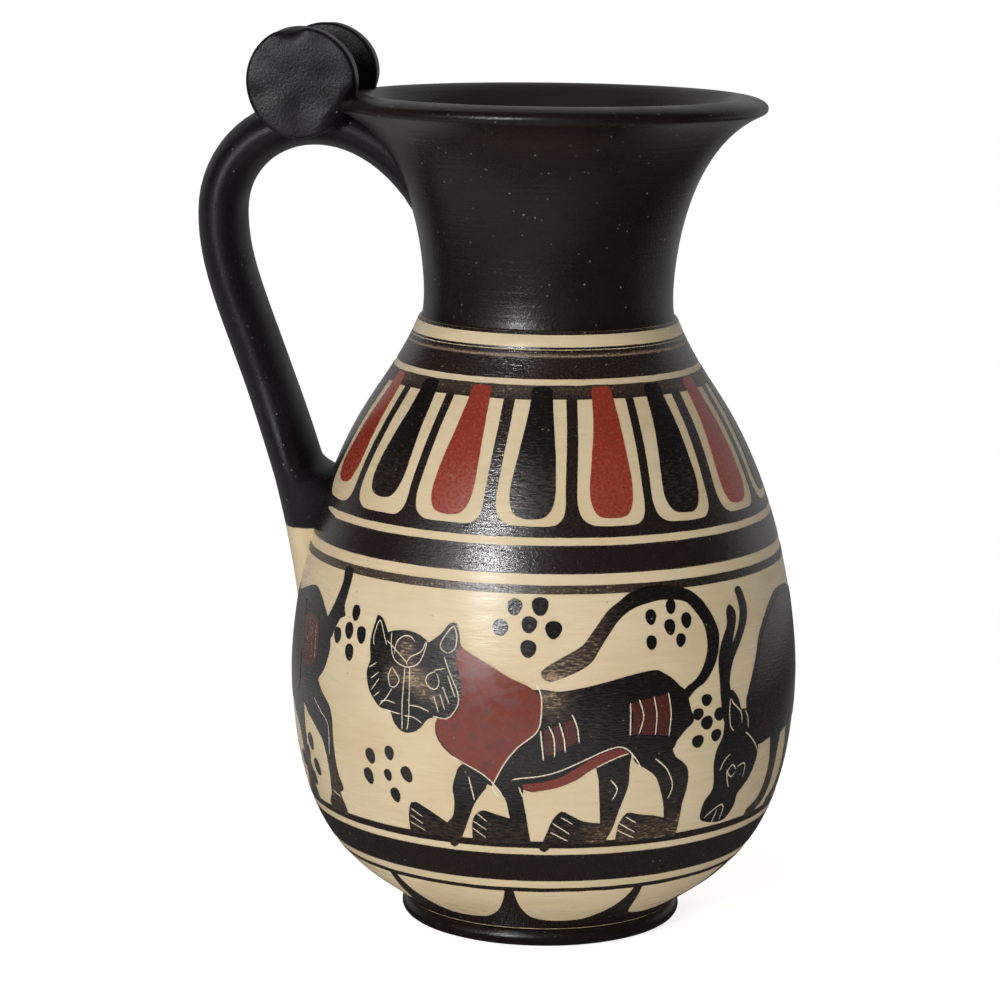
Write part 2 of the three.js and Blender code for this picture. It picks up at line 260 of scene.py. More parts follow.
def make_floor():
    material = bpy.data.materials.new("studio_floor_white")
    material.use_nodes = True
    tree = material.node_tree
    tree.nodes.clear()
    place = add(tree, "ShaderNodeTexCoord").outputs["Object"]
    reach = add(tree, "ShaderNodeVectorMath", {"operation": "LENGTH"}, {0: place}).outputs["Value"]
    side = add(tree, "ShaderNodeSeparateXYZ", {}, {0: place})
    rays = add(tree, "ShaderNodeLightPath").outputs
    mirror = add(tree, "ShaderNodeMath", LARGER, {0: rays["Is Camera Ray"], 1: rays["Is Glossy Ray"]})
    seen = add(tree, "ShaderNodeMath", LARGER, {0: mirror, 1: rays["Is Transmission Ray"]})
    fade = add(tree, "ShaderNodeMapRange", SMOOTH, {
        "Value": reach, "From Min": FLOOR_FADE_START, "From Max": FLOOR_FADE_END})
    share = add(tree, "ShaderNodeMath", TIMES, {0: fade, 1: seen})
    paper = add(tree, "ShaderNodeBsdfDiffuse", {}, {"Color": linear("#f2f1ee")})
    lift = add(tree, "ShaderNodeEmission", {}, {"Strength": FLOOR_LIFT})
    lifted = add(tree, "ShaderNodeAddShader", {}, {0: paper, 1: lift})
    # The paper glows a little where it lights the jug, a painted bounce of light up under the belly
    bounce_glow = add(tree, "ShaderNodeEmission", {}, {"Strength": FLOOR_BOUNCE_GLOW})
    glowing_paper = add(tree, "ShaderNodeAddShader", {}, {0: paper, 1: bounce_glow})
    near_jug = add(tree, "ShaderNodeMixShader", {}, {0: seen, 1: glowing_paper, 2: lifted})
    white = add(tree, "ShaderNodeEmission", {}, {"Strength": 1.0})
    both = add(tree, "ShaderNodeMixShader", {}, {0: share, 1: near_jug, 2: white})
    # Satin slip mirrors the lit paper close by, and hardly any of it further off; the shade at the jug's foot
    # and on the side where its shadow falls is painted into what glossy rays see
    close = add(tree, "ShaderNodeMapRange", SMOOTH, {
        "Value": reach, "From Min": MIRRORED_FAR_REACH, "From Max": MIRRORED_NEAR_REACH})
    clear = add(tree, "ShaderNodeMapRange", SMOOTH, {
        "Value": reach, "From Min": CONTACT_SHADE_START, "From Max": CONTACT_SHADE_END, "To Max": close})
    lit = add(tree, "ShaderNodeMapRange", SMOOTH, {
        "Value": side.outputs["X"], "From Min": SHADE_END, "From Max": SHADE_START})
    bright = add(tree, "ShaderNodeMath", TIMES, {0: clear, 1: lit})
    dimmed = add(tree, "ShaderNodeMath", TIMES_PLUS, {
        0: bright, 1: MIRRORED_SHARE - MIRRORED_NEAR, 2: 1 - MIRRORED_SHARE})
    # Sides seen at a slant gleam with the paper behind the jug, past a painted shadow of the jug that glossy
    # rays see on the paper
    past = add(tree, "ShaderNodeMapRange", SMOOTH, {
        "Value": reach, "From Min": BEHIND_NEAREST, "From Max": BEHIND_FULL,
        "To Min": 1.0, "To Max": 1 - MIRRORED_BEHIND})
    behind = add(tree, "ShaderNodeMapRange", SMOOTH, {
        "Value": side.outputs["Y"], "From Min": BEHIND_START, "From Max": BEHIND_END,
        "To Min": 1.0, "To Max": past})
    least = add(tree, "ShaderNodeMath", {"operation": "MINIMUM"}, {0: dimmed, 1: behind})
    lost = add(tree, "ShaderNodeMath", TIMES, {0: rays["Is Glossy Ray"], 1: least})
    dark = add(tree, "ShaderNodeEmission", {}, {"Strength": 0.0})
    mirrored = add(tree, "ShaderNodeMixShader", {}, {0: lost, 1: both, 2: dark})
    add(tree, "ShaderNodeOutputMaterial", {}, {"Surface": mirrored})
    mesh = bpy.data.meshes.new("floor")
    corners = [(x * FLOOR_RADIUS, y * FLOOR_RADIUS, 0) for x, y in ((-1, -1), (1, -1), (1, 1), (-1, 1))]
    mesh.from_pydata(corners, [], [(0, 1, 2, 3)])
    mesh.materials.append(material)
    floor = bpy.data.objects.new("floor", mesh)
    scene.collection.objects.link(floor)


def make_world():
    world = bpy.data.worlds.new("studio")
    scene.world = world
    world.use_nodes = True
    tree = world.node_tree
    tree.nodes.clear()
    rays = add(tree, "ShaderNodeLightPath").outputs
    room = add(tree, "ShaderNodeMath", TIMES_PLUS, {
        0: rays["Is Glossy Ray"], 1: ROOM_MIRRORED - ROOM_LIGHT, 2: ROOM_LIGHT})
    ambient = add(tree, "ShaderNodeBackground", {}, {"Color": linear("#ffffff"), "Strength": room})
    white = add(tree, "ShaderNodeBackground", {}, {"Color": linear("#ffffff"), "Strength": 1.0})
    # The white sweep stands behind the jug, and the room in front of it is dim
    way = add(tree, "ShaderNodeSeparateXYZ", {}, {0: add(tree, "ShaderNodeTexCoord").outputs["Generated"]})
    behind = add(tree, "ShaderNodeMapRange", SMOOTH, {
        "Value": way.outputs["Y"], "From Min": SWEEP_START, "From Max": SWEEP_FULL})
    overhead = add(tree, "ShaderNodeMapRange", SMOOTH, {
        "Value": way.outputs["Z"], "From Min": OVERHEAD_START, "From Max": OVERHEAD_FULL,
        "To Min": MIRRORED_BEHIND, "To Max": MIRRORED_OVERHEAD})
    mirrored = add(tree, "ShaderNodeMath", TIMES, {0: rays["Is Glossy Ray"], 1: overhead})
    sweep_mirrored = add(tree, "ShaderNodeMath", TIMES, {0: behind, 1: mirrored})
    mirror = add(tree, "ShaderNodeMath", LARGER, {0: rays["Is Camera Ray"], 1: sweep_mirrored})
    seen = add(tree, "ShaderNodeMath", LARGER, {0: mirror, 1: rays["Is Transmission Ray"]})
    both = add(tree, "ShaderNodeMixShader", {}, {0: seen, 1: ambient, 2: white})
    add(tree, "ShaderNodeOutputWorld", {}, {"Surface": both})


def make_lamp(name, place, aim, wide, tall, power, mirrored=True):
    data = bpy.data.lights.new(name, "AREA")
    data.shape = "RECTANGLE"
    data.size = wide
    data.size_y = tall
    data.energy = power
    lamp = bpy.data.objects.new(name, data)
    scene.collection.objects.link(lamp)
    lamp.location = place
    lamp.visible_glossy = mirrored
    lamp.visible_camera = False
    lamp.rotation_mode = "QUATERNION"
    lamp.rotation_quaternion = (Vector(aim) - Vector(place)).to_track_quat("-Z", "Y")


make_floor()
make_world()
JUG_MIDDLE = (0, 0, 0.12)
JUG_BASE = (0, 0, 0.04)
make_lamp("key_softbox", (-0.54, -1.34, 0.52), JUG_MIDDLE, wide=0.09, tall=0.46, power=7.7)
make_lamp("key_scrim", (-0.66, -1.36, 0.60), JUG_MIDDLE, wide=1.15, tall=0.55, power=1.7)
make_lamp("window_left", (-1.10, -1.15, 0.22), JUG_MIDDLE, wide=1.1, tall=1.0, power=1.3)
make_lamp("fill_high", (-0.20, -0.60, 1.55), JUG_MIDDLE, wide=1.1, tall=1.1, power=3.5, mirrored=False)
make_lamp("fill_back", (0.0, 1.50, 0.45), JUG_MIDDLE, wide=1.2, tall=0.8, power=5.0, mirrored=False)
make_lamp("fill_low", (0.25, -0.95, 0.07), JUG_BASE, wide=0.6, tall=0.12, power=1.3, mirrored=False)


def start_material(name, sockets):
    """A material with one Principled shader whose plain values are set on its own sockets."""
    material = bpy.data.materials.new(name)
    material.use_nodes = True
    tree = material.node_tree
    tree.nodes.clear()
    shader = add(tree, "ShaderNodeBsdfPrincipled", {}, sockets)
    add(tree, "ShaderNodeOutputMaterial", {}, {"Surface": shader})
    return material, tree, shader


def finish_material(tree, shader, colour, rough, relief, strength, depth):
    """Joins the colour, the roughness and a relief, its depth in millimetres, to the shader."""
    bump = add(tree, "ShaderNodeBump", {}, {"Height": relief, "Strength": strength, "Distance": depth * MM})
    tree.links.new(colour.outputs[MIX_RESULT], shader.inputs["Base Color"])
    tree.links.new(rough.outputs[0], shader.inputs["Roughness"])
    tree.links.new(bump.outputs[0], shader.inputs["Normal"])


def specks(tree, place, spacing, widest, solid, common, rare, strength):
    """How much a speck shows: a small dot in the middle of a cell, in the few cells that have one."""
    cells = add(tree, "ShaderNodeTexVoronoi", {}, {"Vector": place, "Scale": to_a_metre(spacing)})
    dot = add(tree, "ShaderNodeMapRange", {}, {"Value": cells, "From Min": widest, "From Max": solid})
    chosen = add(tree, "ShaderNodeMapRange", {}, {
        "Value": cells.outputs["Color"], "From Min": common, "From Max": rare, "To Max": strength})
    return add(tree, "ShaderNodeMath", TIMES, {0: dot, 1: chosen})


# Tones of grit in the clay, dust on the slip and clay that the slip leaves bare
GRIT_TONE = "#6f563a"
DUST_TONE = "#a8a19c"
BARE_CLAY_TONE = "#dcc8a2"


def cream_clay(name, low_tone, high_tone, stroke_tone):
    """Fired cream clay coat, brushed on: satin, softly mottled, with brush marks, rings and dark grit."""
    material, tree, shader = start_material(name, {"Roughness": 0.3, "IOR": 1.5, "Specular IOR Level": 0.42})
    place = add(tree, "ShaderNodeTexCoord").outputs["Object"]
    # Mottling 25 mm across, brush marks 30 mm long and 2.4 mm high, ripples 0.67 mm high
    mottle = add(tree, "ShaderNodeTexNoise", {}, {"Vector": place, "Scale": to_a_metre(25), "Detail": 4})
    along = add(tree, "ShaderNodeMapping", {}, {"Vector": place, "Scale": to_a_metre(30.3, 30.3, 2.381)})
    strokes = add(tree, "ShaderNodeTexNoise", {}, {"Vector": along, "Scale": 1, "Detail": 5})
    finer = add(tree, "ShaderNodeMapping", {}, {"Vector": place, "Scale": to_a_metre(3.846, 3.846, 0.6667)})
    ripples = add(tree, "ShaderNodeTexNoise", {}, {"Vector": finer, "Scale": 1, "Detail": 3})
    tone = add(tree, "ShaderNodeValToRGB", {}, {"Fac": mottle})
    for element, position, colour in zip(tone.color_ramp.elements, (0.32, 0.68), (low_tone, high_tone)):
        element.position = position
        element.color = linear(colour)
    streak = add(tree, "ShaderNodeMapRange", {}, {
        "Value": strokes, "From Min": 0.52, "From Max": 0.75, "To Max": 0.30})
    streaked = add(tree, "ShaderNodeMix", COLOURS, {0: streak, MIX_A: tone, MIX_B: linear(stroke_tone)})
    # Grit in a few of the places 2.4 mm apart
    grit = specks(tree, place, spacing=2.381, widest=0.16, solid=0.08, common=0.80, rare=0.95, strength=0.5)
    gritty = add(tree, "ShaderNodeMix", COLOURS, {
        0: grit, MIX_A: streaked.outputs[MIX_RESULT], MIX_B: linear(GRIT_TONE)})
    rough = add(tree, "ShaderNodeMapRange", {}, {
        "Value": strokes, "From Min": 0.3, "From Max": 0.7, "To Min": 0.22, "To Max": 0.36})
    relief = add(tree, "ShaderNodeMath", TIMES_PLUS, {0: ripples, 1: 0.9, 2: strokes})
    finish_material(tree, shader, gritty, rough, relief, strength=0.45, depth=0.2)
    return material


# Where the slip on the strap stops: how far its edge wanders and how soft it is
SLIP_EDGE_WANDER = 4.0
SLIP_EDGE_BLUR = 0.2


def black_slip(name, body, dusty, gloss, smoothest, roughest, wheel_lines, bare_below=None, inner=None):
    """Burnished black slip on turned clay: satin, with fine turning lines, scuffs and pale dust specks."""
    material, tree, shader = start_material(name, {"Roughness": 0.3, "IOR": 1.5, "Specular IOR Level": gloss})
    place = add(tree, "ShaderNodeTexCoord").outputs["Object"]
    # Cloudy tone 15 mm across, turning lines 0.8 mm apart, grain of 0.77 mm
    cloud = add(tree, "ShaderNodeTexNoise", {}, {"Vector": place, "Scale": to_a_metre(15.38), "Detail": 5})
    along = add(tree, "ShaderNodeMapping", {}, {"Vector": place, "Scale": to_a_metre(71.43, 71.43, 0.8)})
    lines = add(tree, "ShaderNodeTexNoise", {}, {"Vector": along, "Scale": 1, "Detail": 4})
    grain = add(tree, "ShaderNodeTexNoise", {}, {"Vector": place, "Scale": to_a_metre(0.7692), "Detail": 3})
    dust = add(tree, "ShaderNodeMath", TIMES_PLUS, {0: grain, 1: 1.2, 2: cloud})
    dusted = add(tree, "ShaderNodeMapRange", {}, {"Value": dust, "From Min": 0.75, "From Max": 1.45})
    tone = add(tree, "ShaderNodeMix", COLOURS, {0: dusted, MIX_A: linear(body), MIX_B: linear(dusty)})
    # Specks about 0.4 mm wide in some of the places 1.8 mm apart
    speck = specks(tree, place, spacing=1.786, widest=0.19, solid=0.10, common=0.68, rare=0.92, strength=0.55)
    dotted = add(tree, "ShaderNodeMix", COLOURS, {
        0: speck, MIX_A: tone.outputs[MIX_RESULT], MIX_B: linear(DUST_TONE)})
    colour = dotted
    if bare_below is not None:
        # The slip stops at a level, with an edge that wanders by about a millimetre
        height = add(tree, "ShaderNodeSeparateXYZ", {}, {0: place})
        edge = add(tree, "ShaderNodeMath", TIMES_PLUS, {
            0: cloud, 1: SLIP_EDGE_WANDER * MM, 2: height.outputs["Z"]})
        middle = bare_below + SLIP_EDGE_WANDER / 2
        clay = add(tree, "ShaderNodeMapRange", {}, {
            "Value": edge, "From Min": (middle + SLIP_EDGE_BLUR) * MM,
            "From Max": (middle - SLIP_EDGE_BLUR) * MM})
        colour = add(tree, "ShaderNodeMix", COLOURS, {
            0: clay, MIX_A: dotted.outputs[MIX_RESULT], MIX_B: linear(BARE_CLAY_TONE)})
    if inner is not None:
        # Inside the neck, where the surface faces the axis, the slip was never burnished
        around = add(tree, "ShaderNodeVectorMath", TIMES, {0: place, 1: (1, 1, 0)})
        facing = add(tree, "ShaderNodeVectorMath", {"operation": "DOT_PRODUCT"}, {
            0: around, 1: add(tree, "ShaderNodeNewGeometry").outputs["Normal"]})
        inward = add(tree, "ShaderNodeMapRange", {}, {
            "Value": facing.outputs["Value"], "From Min": -0.004, "From Max": -0.012})
        colour = add(tree, "ShaderNodeMix", COLOURS, {
            0: inward, MIX_A: dotted.outputs[MIX_RESULT], MIX_B: linear(inner)})
    rough = add(tree, "ShaderNodeMapRange", {}, {
        "Value": cloud, "From Min": 0.3, "From Max": 0.7, "To Min": smoothest, "To Max": roughest})
    relief = add(tree, "ShaderNodeMath", TIMES_PLUS, {0: lines, 1: wheel_lines, 2: grain})
    finish_material(tree, shader, colour, rough, relief, strength=0.4, depth=0.22)
    return material


CLAY = cream_clay("cream_clay_coat", "#d8c39c", "#e2cfad", "#c9af83")
# Clay laid bare by a sharp point: fresher and paler than the coat round it
SCRATCHED = cream_clay("cream_clay_scratched_bare", "#e8d8bc", "#efe2c9", "#dfcdac")
NECK_BLACK = black_slip(
    "black_slip_turned", "#120a0a", "#1f1413", gloss=0.56, smoothest=0.25, roughest=0.38,
    wheel_lines=1.2, inner="#2e292a")
STRAP_BLACK = black_slip(
    "black_slip_hand_smoothed", "#0e0b0f", "#201b22", gloss=0.36, smoothest=0.36, roughest=0.50,
    wheel_lines=0.0, bare_below=HANDLE_SLIP_LEVEL)


def at(radius, level):
    return np.array([radius, level], float)


UPRIGHT = at(0, 1)
OUTWARD = at(1, 0)


def leaning(lean, side):
    return at(side * math.sin(lean), math.cos(lean))


def rising(lean):
    return at(math.cos(lean), math.sin(lean))


def sweep(start, leave, leave_ease, end, arrive, arrive_ease, steps):
    """A cubic curve in the radius and height plane, leaving and arriving along two directions."""
    first = start + leave * leave_ease
    second = end - arrive * arrive_ease
    shares = np.linspace(0, 1, steps + 1)
    return [start * (1 - t) ** 3 + first * 3 * t * (1 - t) ** 2
            + second * 3 * t * t * (1 - t) + end * t ** 3 for t in shares]


def quarter(start, end, leave_upright, steps):
    """A quarter of an ellipse, leaving the first point along the given axis."""
    points = []
    for angle in np.linspace(0, math.pi / 2, steps + 1):
        early, late = 1 - math.cos(angle), math.sin(angle)
        share = at(early, late) if leave_upright else at(late, early)
        points.append(start + (end - start) * share)
    return points


def distinct(points):
    kept = points[:1]
    for point in points[1:]:
        if np.linalg.norm(point - kept[-1]) > SAME_POINT:
            kept.append(point)
    return kept


def ways(line):
    """The direction of a line at each of its points, as a step of length one."""
    along = np.gradient(np.array(line), axis=0)
    return along / np.linalg.norm(along, axis=1)[:, None]


def shifted(points, distance):
    """The same line moved sideways, outward where the distance is positive."""
    line = np.array(points)
    along = ways(line)
    return list(line + np.stack([along[:, 1], -along[:, 0]], 1) * distance)


def radius_at(points, level):
    line = np.array(points)
    return float(np.interp(level, line[:, 1], line[:, 0]))


def belly_line(steps):
    base = at(BELLY_BASE_RADIUS, FOOT_HEIGHT + LUTING)
    widest = at(BELLY_RADIUS, BELLY_LEVEL)
    shoulder = at(SHOULDER_RADIUS, SHOULDER_LEVEL)
    rim = at(NECK_RADIUS + LUTING + COLLAR_WIDTH, JOINT_LEVEL)
    turning_in = leaning(SHOULDER_LEAN, -1)
    at_rim = leaning(JOINT_LEAN, -1)
    return distinct(
        sweep(base, rising(BELLY_BASE_LEAN), BELLY_BASE_EASE, widest, UPRIGHT, BELLY_LOWER_EASE, steps)
        + sweep(widest, UPRIGHT, BELLY_UPPER_EASE, shoulder, turning_in, SHOULDER_LOWER_EASE, steps)
        + sweep(shoulder, turning_in, SHOULDER_UPPER_EASE, rim, at_rim, JOINT_EASE, EDGE_STEPS))


def neck_line(steps):
    waist = at(NECK_RADIUS, NECK_WAIST_LEVEL)
    flare = rising(LIP_FLARE_LEAN)
    edge = at(LIP_RADIUS, LIP_EDGE_LEVEL)
    under = edge - flare * LIP_EDGE_ROUNDING
    nose = edge + at(-LIP_NOSE_SETBACK, LIP_NOSE_RISE)
    crest = at(LIP_CREST_RADIUS, LIP_LEVEL)
    return distinct(
        quarter(at(NECK_BASE_RADIUS, NECK_BASE_LEVEL), waist, False, EDGE_STEPS)
        + sweep(waist, UPRIGHT, NECK_WAIST_EASE, under, flare, LIP_FLARE_EASE, steps)
        + sweep(under, flare, LIP_EDGE_EASE, nose, UPRIGHT, LIP_NOSE_RISE, EDGE_STEPS)
        + quarter(nose, crest, True, EDGE_STEPS))


BELLY_OUTSIDE = belly_line(CURVE_STEPS)
NECK_OUTSIDE = neck_line(CURVE_STEPS)


def start_tree(name, sockets):
    """A geometry tree with the object's own mesh and the named sizes coming in."""
    tree = bpy.data.node_groups.new(name, "GeometryNodeTree")
    tree.interface.new_socket("Geometry", in_out="INPUT", socket_type="NodeSocketGeometry")
    for label, kind in sockets.items():
        tree.interface.new_socket(label, in_out="INPUT", socket_type="NodeSocket" + kind)
    tree.interface.new_socket("Geometry", in_out="OUTPUT", socket_type="NodeSocketGeometry")
    return tree, add(tree, "NodeGroupInput").outputs


def end_tree(tree, geometry, material):
    """Closes seams and poles, makes everything real and gives it its material."""
    real = add(tree, "GeometryNodeRealizeInstances", {}, {"Geometry": geometry})
    joined = add(tree, "GeometryNodeMergeByDistance", {}, {"Geometry": real, "Distance": MERGE_DISTANCE})
    smooth = add(tree, "GeometryNodeSetShadeSmooth", {}, {"Geometry": joined})
    painted = add(tree, "GeometryNodeSetMaterial", {}, {"Geometry": smooth, "Material": material})
    add(tree, "NodeGroupOutput", {}, {"Geometry": painted})


def rows_and_columns(tree, rows, columns):
    """A grid whose rows are stations of a line, with each point's row and column as numbers."""
    grid = add(tree, "GeometryNodeMeshGrid", {}, {"Vertices X": rows, "Vertices Y": columns})
    index = add(tree, "GeometryNodeInputIndex")
    share = add(tree, "ShaderNodeMath", {"operation": "DIVIDE"}, {0: index, 1: columns})
    row = add(tree, "ShaderNodeMath", {"operation": "FLOOR"}, {0: share})
    column = add(tree, "ShaderNodeMath", {"operation": "MODULO"}, {0: index, 1: columns})
    return grid.outputs["Mesh"], row, column


def turning_tree():
    """The object's mesh is a line of points in the XZ plane, turned once round Z."""
    tree, given = start_tree("turned_on_the_wheel", {"Steps": "Int", "Material": "Material"})
    count = add(tree, "GeometryNodeAttributeDomainSize", {}, {"Geometry": given["Geometry"]})
    rows = add(tree, "ShaderNodeMath", {"operation": "ADD"}, {0: given["Steps"], 1: 1})
    grid, row, column = rows_and_columns(tree, rows, count.outputs["Point Count"])
    place = add(tree, "GeometryNodeInputPosition")
    point = add(tree, "GeometryNodeSampleIndex", AT_POINTS, {
        "Geometry": given["Geometry"], "Value": place, "Index": column})
    turn = add(tree, "ShaderNodeMath", {"operation": "DIVIDE"}, {0: row, 1: given["Steps"]})
    angle = add(tree, "ShaderNodeMath", TIMES, {0: turn, 1: math.tau})
    swung = add(tree, "ShaderNodeVectorRotate", {"rotation_type": "Z_AXIS"}, {
        "Vector": point, "Angle": angle})
    shaped = add(tree, "GeometryNodeSetPosition", {}, {"Geometry": grid, "Position": swung})
    end_tree(tree, shaped, given["Material"])
    return tree


# What each point of the strap's middle line carries
STRAP_SIZES = ("thick", "wide", "web")


def strap_tree():
    """The object's mesh is the strap's middle line, with its thickness, width and inner web at each point."""
    tree, given = start_tree("pulled_strap", {"Sides": "Int", "Roundness": "Float", "Material": "Material"})
    count = add(tree, "GeometryNodeAttributeDomainSize", {}, {"Geometry": given["Geometry"]})
    columns = add(tree, "ShaderNodeMath", {"operation": "ADD"}, {0: given["Sides"], 1: 1})
    grid, row, column = rows_and_columns(tree, count.outputs["Point Count"], columns)
    turn = add(tree, "ShaderNodeMath", {"operation": "DIVIDE"}, {0: column, 1: given["Sides"]})
    angle = add(tree, "ShaderNodeMath", TIMES, {0: turn, 1: math.tau})
    power = add(tree, "ShaderNodeMath", {"operation": "DIVIDE"}, {0: 2.0, 1: given["Roundness"]})
    sides = []
    for operation in ("COSINE", "SINE"):
        wave = add(tree, "ShaderNodeMath", {"operation": operation}, {0: angle})
        size = add(tree, "ShaderNodeMath", {"operation": "ABSOLUTE"}, {0: wave})
        full = add(tree, "ShaderNodeMath", {"operation": "POWER"}, {0: size, 1: power})
        sign = add(tree, "ShaderNodeMath", {"operation": "SIGN"}, {0: wave})
        sides.append(add(tree, "ShaderNodeMath", TIMES, {0: full, 1: sign}))
    place = add(tree, "GeometryNodeInputPosition")
    reached = add(tree, "GeometryNodeSampleIndex", AT_POINTS, {
        "Geometry": given["Geometry"], "Value": place, "Index": row})
    sides.append(add(tree, "ShaderNodeMath", LARGER, {0: sides[0], 1: 0.0}))
    for label, side in zip(STRAP_SIZES, sides):
        named = add(tree, "GeometryNodeInputNamedAttribute", {"data_type": "FLOAT_VECTOR"}, {"Name": label})
        reach = add(tree, "GeometryNodeSampleIndex", AT_POINTS, {
            "Geometry": given["Geometry"], "Value": named, "Index": row})
        reached = add(tree, "ShaderNodeVectorMath", TIMES_PLUS, {0: reach, 1: side, 2: reached})
    shaped = add(tree, "GeometryNodeSetPosition", {}, {"Geometry": grid, "Position": reached})
    end_tree(tree, shaped, given["Material"])
    return tree


def grown(name, mesh, tree, sizes):
    """Runs a geometry tree on a mesh and keeps the result as a plain mesh."""
    piece = bpy.data.objects.new(name, mesh)
    scene.collection.objects.link(piece)
    modifier = piece.modifiers.new("shape", "NODES")
    modifier.node_group = tree
    for socket in tree.interface.items_tree:
        if socket.in_out == "INPUT" and socket.name in sizes:
            modifier[socket.identifier] = sizes[socket.name]
    depsgraph = bpy.context.evaluated_depsgraph_get()
    plain = bpy.data.meshes.new_from_object(
        piece.evaluated_get(depsgraph), preserve_all_data_layers=True, depsgraph=depsgraph)
    piece.modifiers.remove(modifier)
    piece.data = plain
    plain.name = name
    plain.set_sharp_from_angle(angle=SHARP_ANGLE)
    return piece


def line_mesh(name, points):
    """Points given as radius and height in millimetres, as a mesh of loose points in the XZ plane."""
    mesh = bpy.data.meshes.new(name)
    mesh.from_pydata([(p[0] * MM, 0, p[1] * MM) for p in points], [], [])
    return mesh


def keep(piece, slot, *nodes):
    """The piece moves with the jug and stands for its solids. The slot it is given is not used."""
    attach(piece, "root")
    if nodes:
        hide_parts(*nodes)


TURNING = turning_tree()
STRAP = strap_tree()


def turned(name, points, material):
    return grown(name, line_mesh(name, points), TURNING, {"Steps": TURN_STEPS, "Material": material})


# Belly: the outside line, the mouth that takes the neck, and the same line one wall further in
def make_belly():
    floor_level = FOOT_HEIGHT + LUTING + BELLY_FLOOR
    mouth_radius = NECK_BORE_RADIUS + SPIGOT_WALL + LUTING
    mouth_bottom = JOINT_LEVEL - SPIGOT_DEPTH - LUTING
    hollow = shifted(BELLY_OUTSIDE, -BELLY_WALL)
    cavity = [p for p in hollow if floor_level < p[1] < mouth_bottom and p[0] > mouth_radius]
    return turned("jug_belly", [
        at(0, FOOT_HEIGHT + LUTING), *BELLY_OUTSIDE, at(mouth_radius, JOINT_LEVEL),
        at(mouth_radius, mouth_bottom), *reversed(cavity),
        at(radius_at(hollow, floor_level), floor_level), at(0, floor_level)], CLAY)


# Neck: from the spigot up the outside, over the lip and down the bore
def make_neck():
    spigot_bottom = JOINT_LEVEL - SPIGOT_DEPTH
    spigot_radius = NECK_BORE_RADIUS + SPIGOT_WALL
    seat_level = JOINT_LEVEL + LUTING
    bore_top = at(NECK_BORE_RADIUS, NECK_WAIST_LEVEL)
    crest = at(LIP_CREST_RADIUS, LIP_LEVEL)
    bore = sweep(bore_top, UPRIGHT, NECK_BORE_EASE, crest, OUTWARD, LIP_CREST_EASE, CURVE_STEPS)
    first = at(spigot_radius, spigot_bottom)
    return turned("jug_neck", distinct([
        first, at(spigot_radius, seat_level), at(NECK_RADIUS, seat_level), at(NECK_RADIUS, NECK_BASE_LEVEL),
        *NECK_OUTSIDE, *reversed(bore), at(NECK_BORE_RADIUS, spigot_bottom), first]), NECK_BLACK)


# Collar: a slope from the belly's rim, which it is smeared over, in to its narrow top
def make_collar():
    bore = NECK_RADIUS + LUTING
    low = at(bore + COLLAR_WIDTH, JOINT_LEVEL + LUTING - COLLAR_SMEAR)
    top = at(bore + COLLAR_TOP_WIDTH, JOINT_LEVEL + LUTING + COLLAR_HEIGHT)
    slope = [low + (top - low) * share + OUTWARD * COLLAR_CROWN * math.sin(math.pi * share)
             for share in np.linspace(0, 1, EDGE_STEPS + 1)]
    return turned("jug_collar", [at(bore, low[1]), *slope, at(bore, top[1]), at(bore, low[1])], CLAY)


# Foot: flat underside, curved side, rounded top edge and black slip smeared over the joint
def make_foot():
    widest = at(FOOT_RADIUS, FOOT_HEIGHT - FOOT_TOP_ROUNDING)
    top_edge = at(FOOT_RADIUS - FOOT_TOP_ROUNDING, FOOT_HEIGHT)
    joint_radius = BELLY_BASE_RADIUS - FOOT_SMEAR_INSET
    joint_top = FOOT_HEIGHT + LUTING + FOOT_SMEAR
    over_joint = at(radius_at(BELLY_OUTSIDE, joint_top) + FOOT_SMEAR_LIFT, joint_top)
    return turned("jug_foot", distinct([
        at(0, 0), *quarter(at(FOOT_UNDERSIDE_RADIUS, 0), widest, False, EDGE_STEPS),
        *quarter(widest, top_edge, True, EDGE_STEPS), over_joint, at(joint_radius, over_joint[1]),
        at(joint_radius, FOOT_HEIGHT + LUTING),
        at(0, FOOT_HEIGHT + LUTING)]), NECK_BLACK)


# Handle: the strap's middle line with its width, closed to a point inside the neck and inside the wall
def strap_line():
    top = LIP_LEVEL - HANDLE_TOP_DROP
    start = at(radius_at(NECK_OUTSIDE, top) - HANDLE_TOP_SINK, top)
    top_way = rising(HANDLE_TOP_LEAN)
    bend = at(HANDLE_REACH, HANDLE_REACH_LEVEL)
    root = at(radius_at(BELLY_OUTSIDE, HANDLE_ROOT_LEVEL) + HANDLE_ROOT_STANDOFF, HANDLE_ROOT_LEVEL)
    tail = at(radius_at(BELLY_OUTSIDE, HANDLE_TAIL_LEVEL) - HANDLE_TAIL_SINK, HANDLE_TAIL_LEVEL)
    root_way = -leaning(HANDLE_ROOT_LEAN, 1)
    tail_way = -leaning(HANDLE_TAIL_LEAN, 1)
    points = (
        [start - top_way * HANDLE_TOP_BURIED]
        + sweep(start, top_way, HANDLE_TOP_EASE, bend, -UPRIGHT, HANDLE_BEND_EASE, STRAP_STEPS)
        + sweep(bend, -UPRIGHT, HANDLE_ARM_EASE, root, root_way, HANDLE_ROOT_EASE, STRAP_STEPS)
        + sweep(root, root_way, HANDLE_TAIL_EASE, tail, tail_way, HANDLE_TAIL_EASE, STRAP_STEPS))
    return distinct(points)


def eased(value, low, high):
    share = min(max((value - low) / (high - low), 0), 1)
    return share * share * (3 - 2 * share)


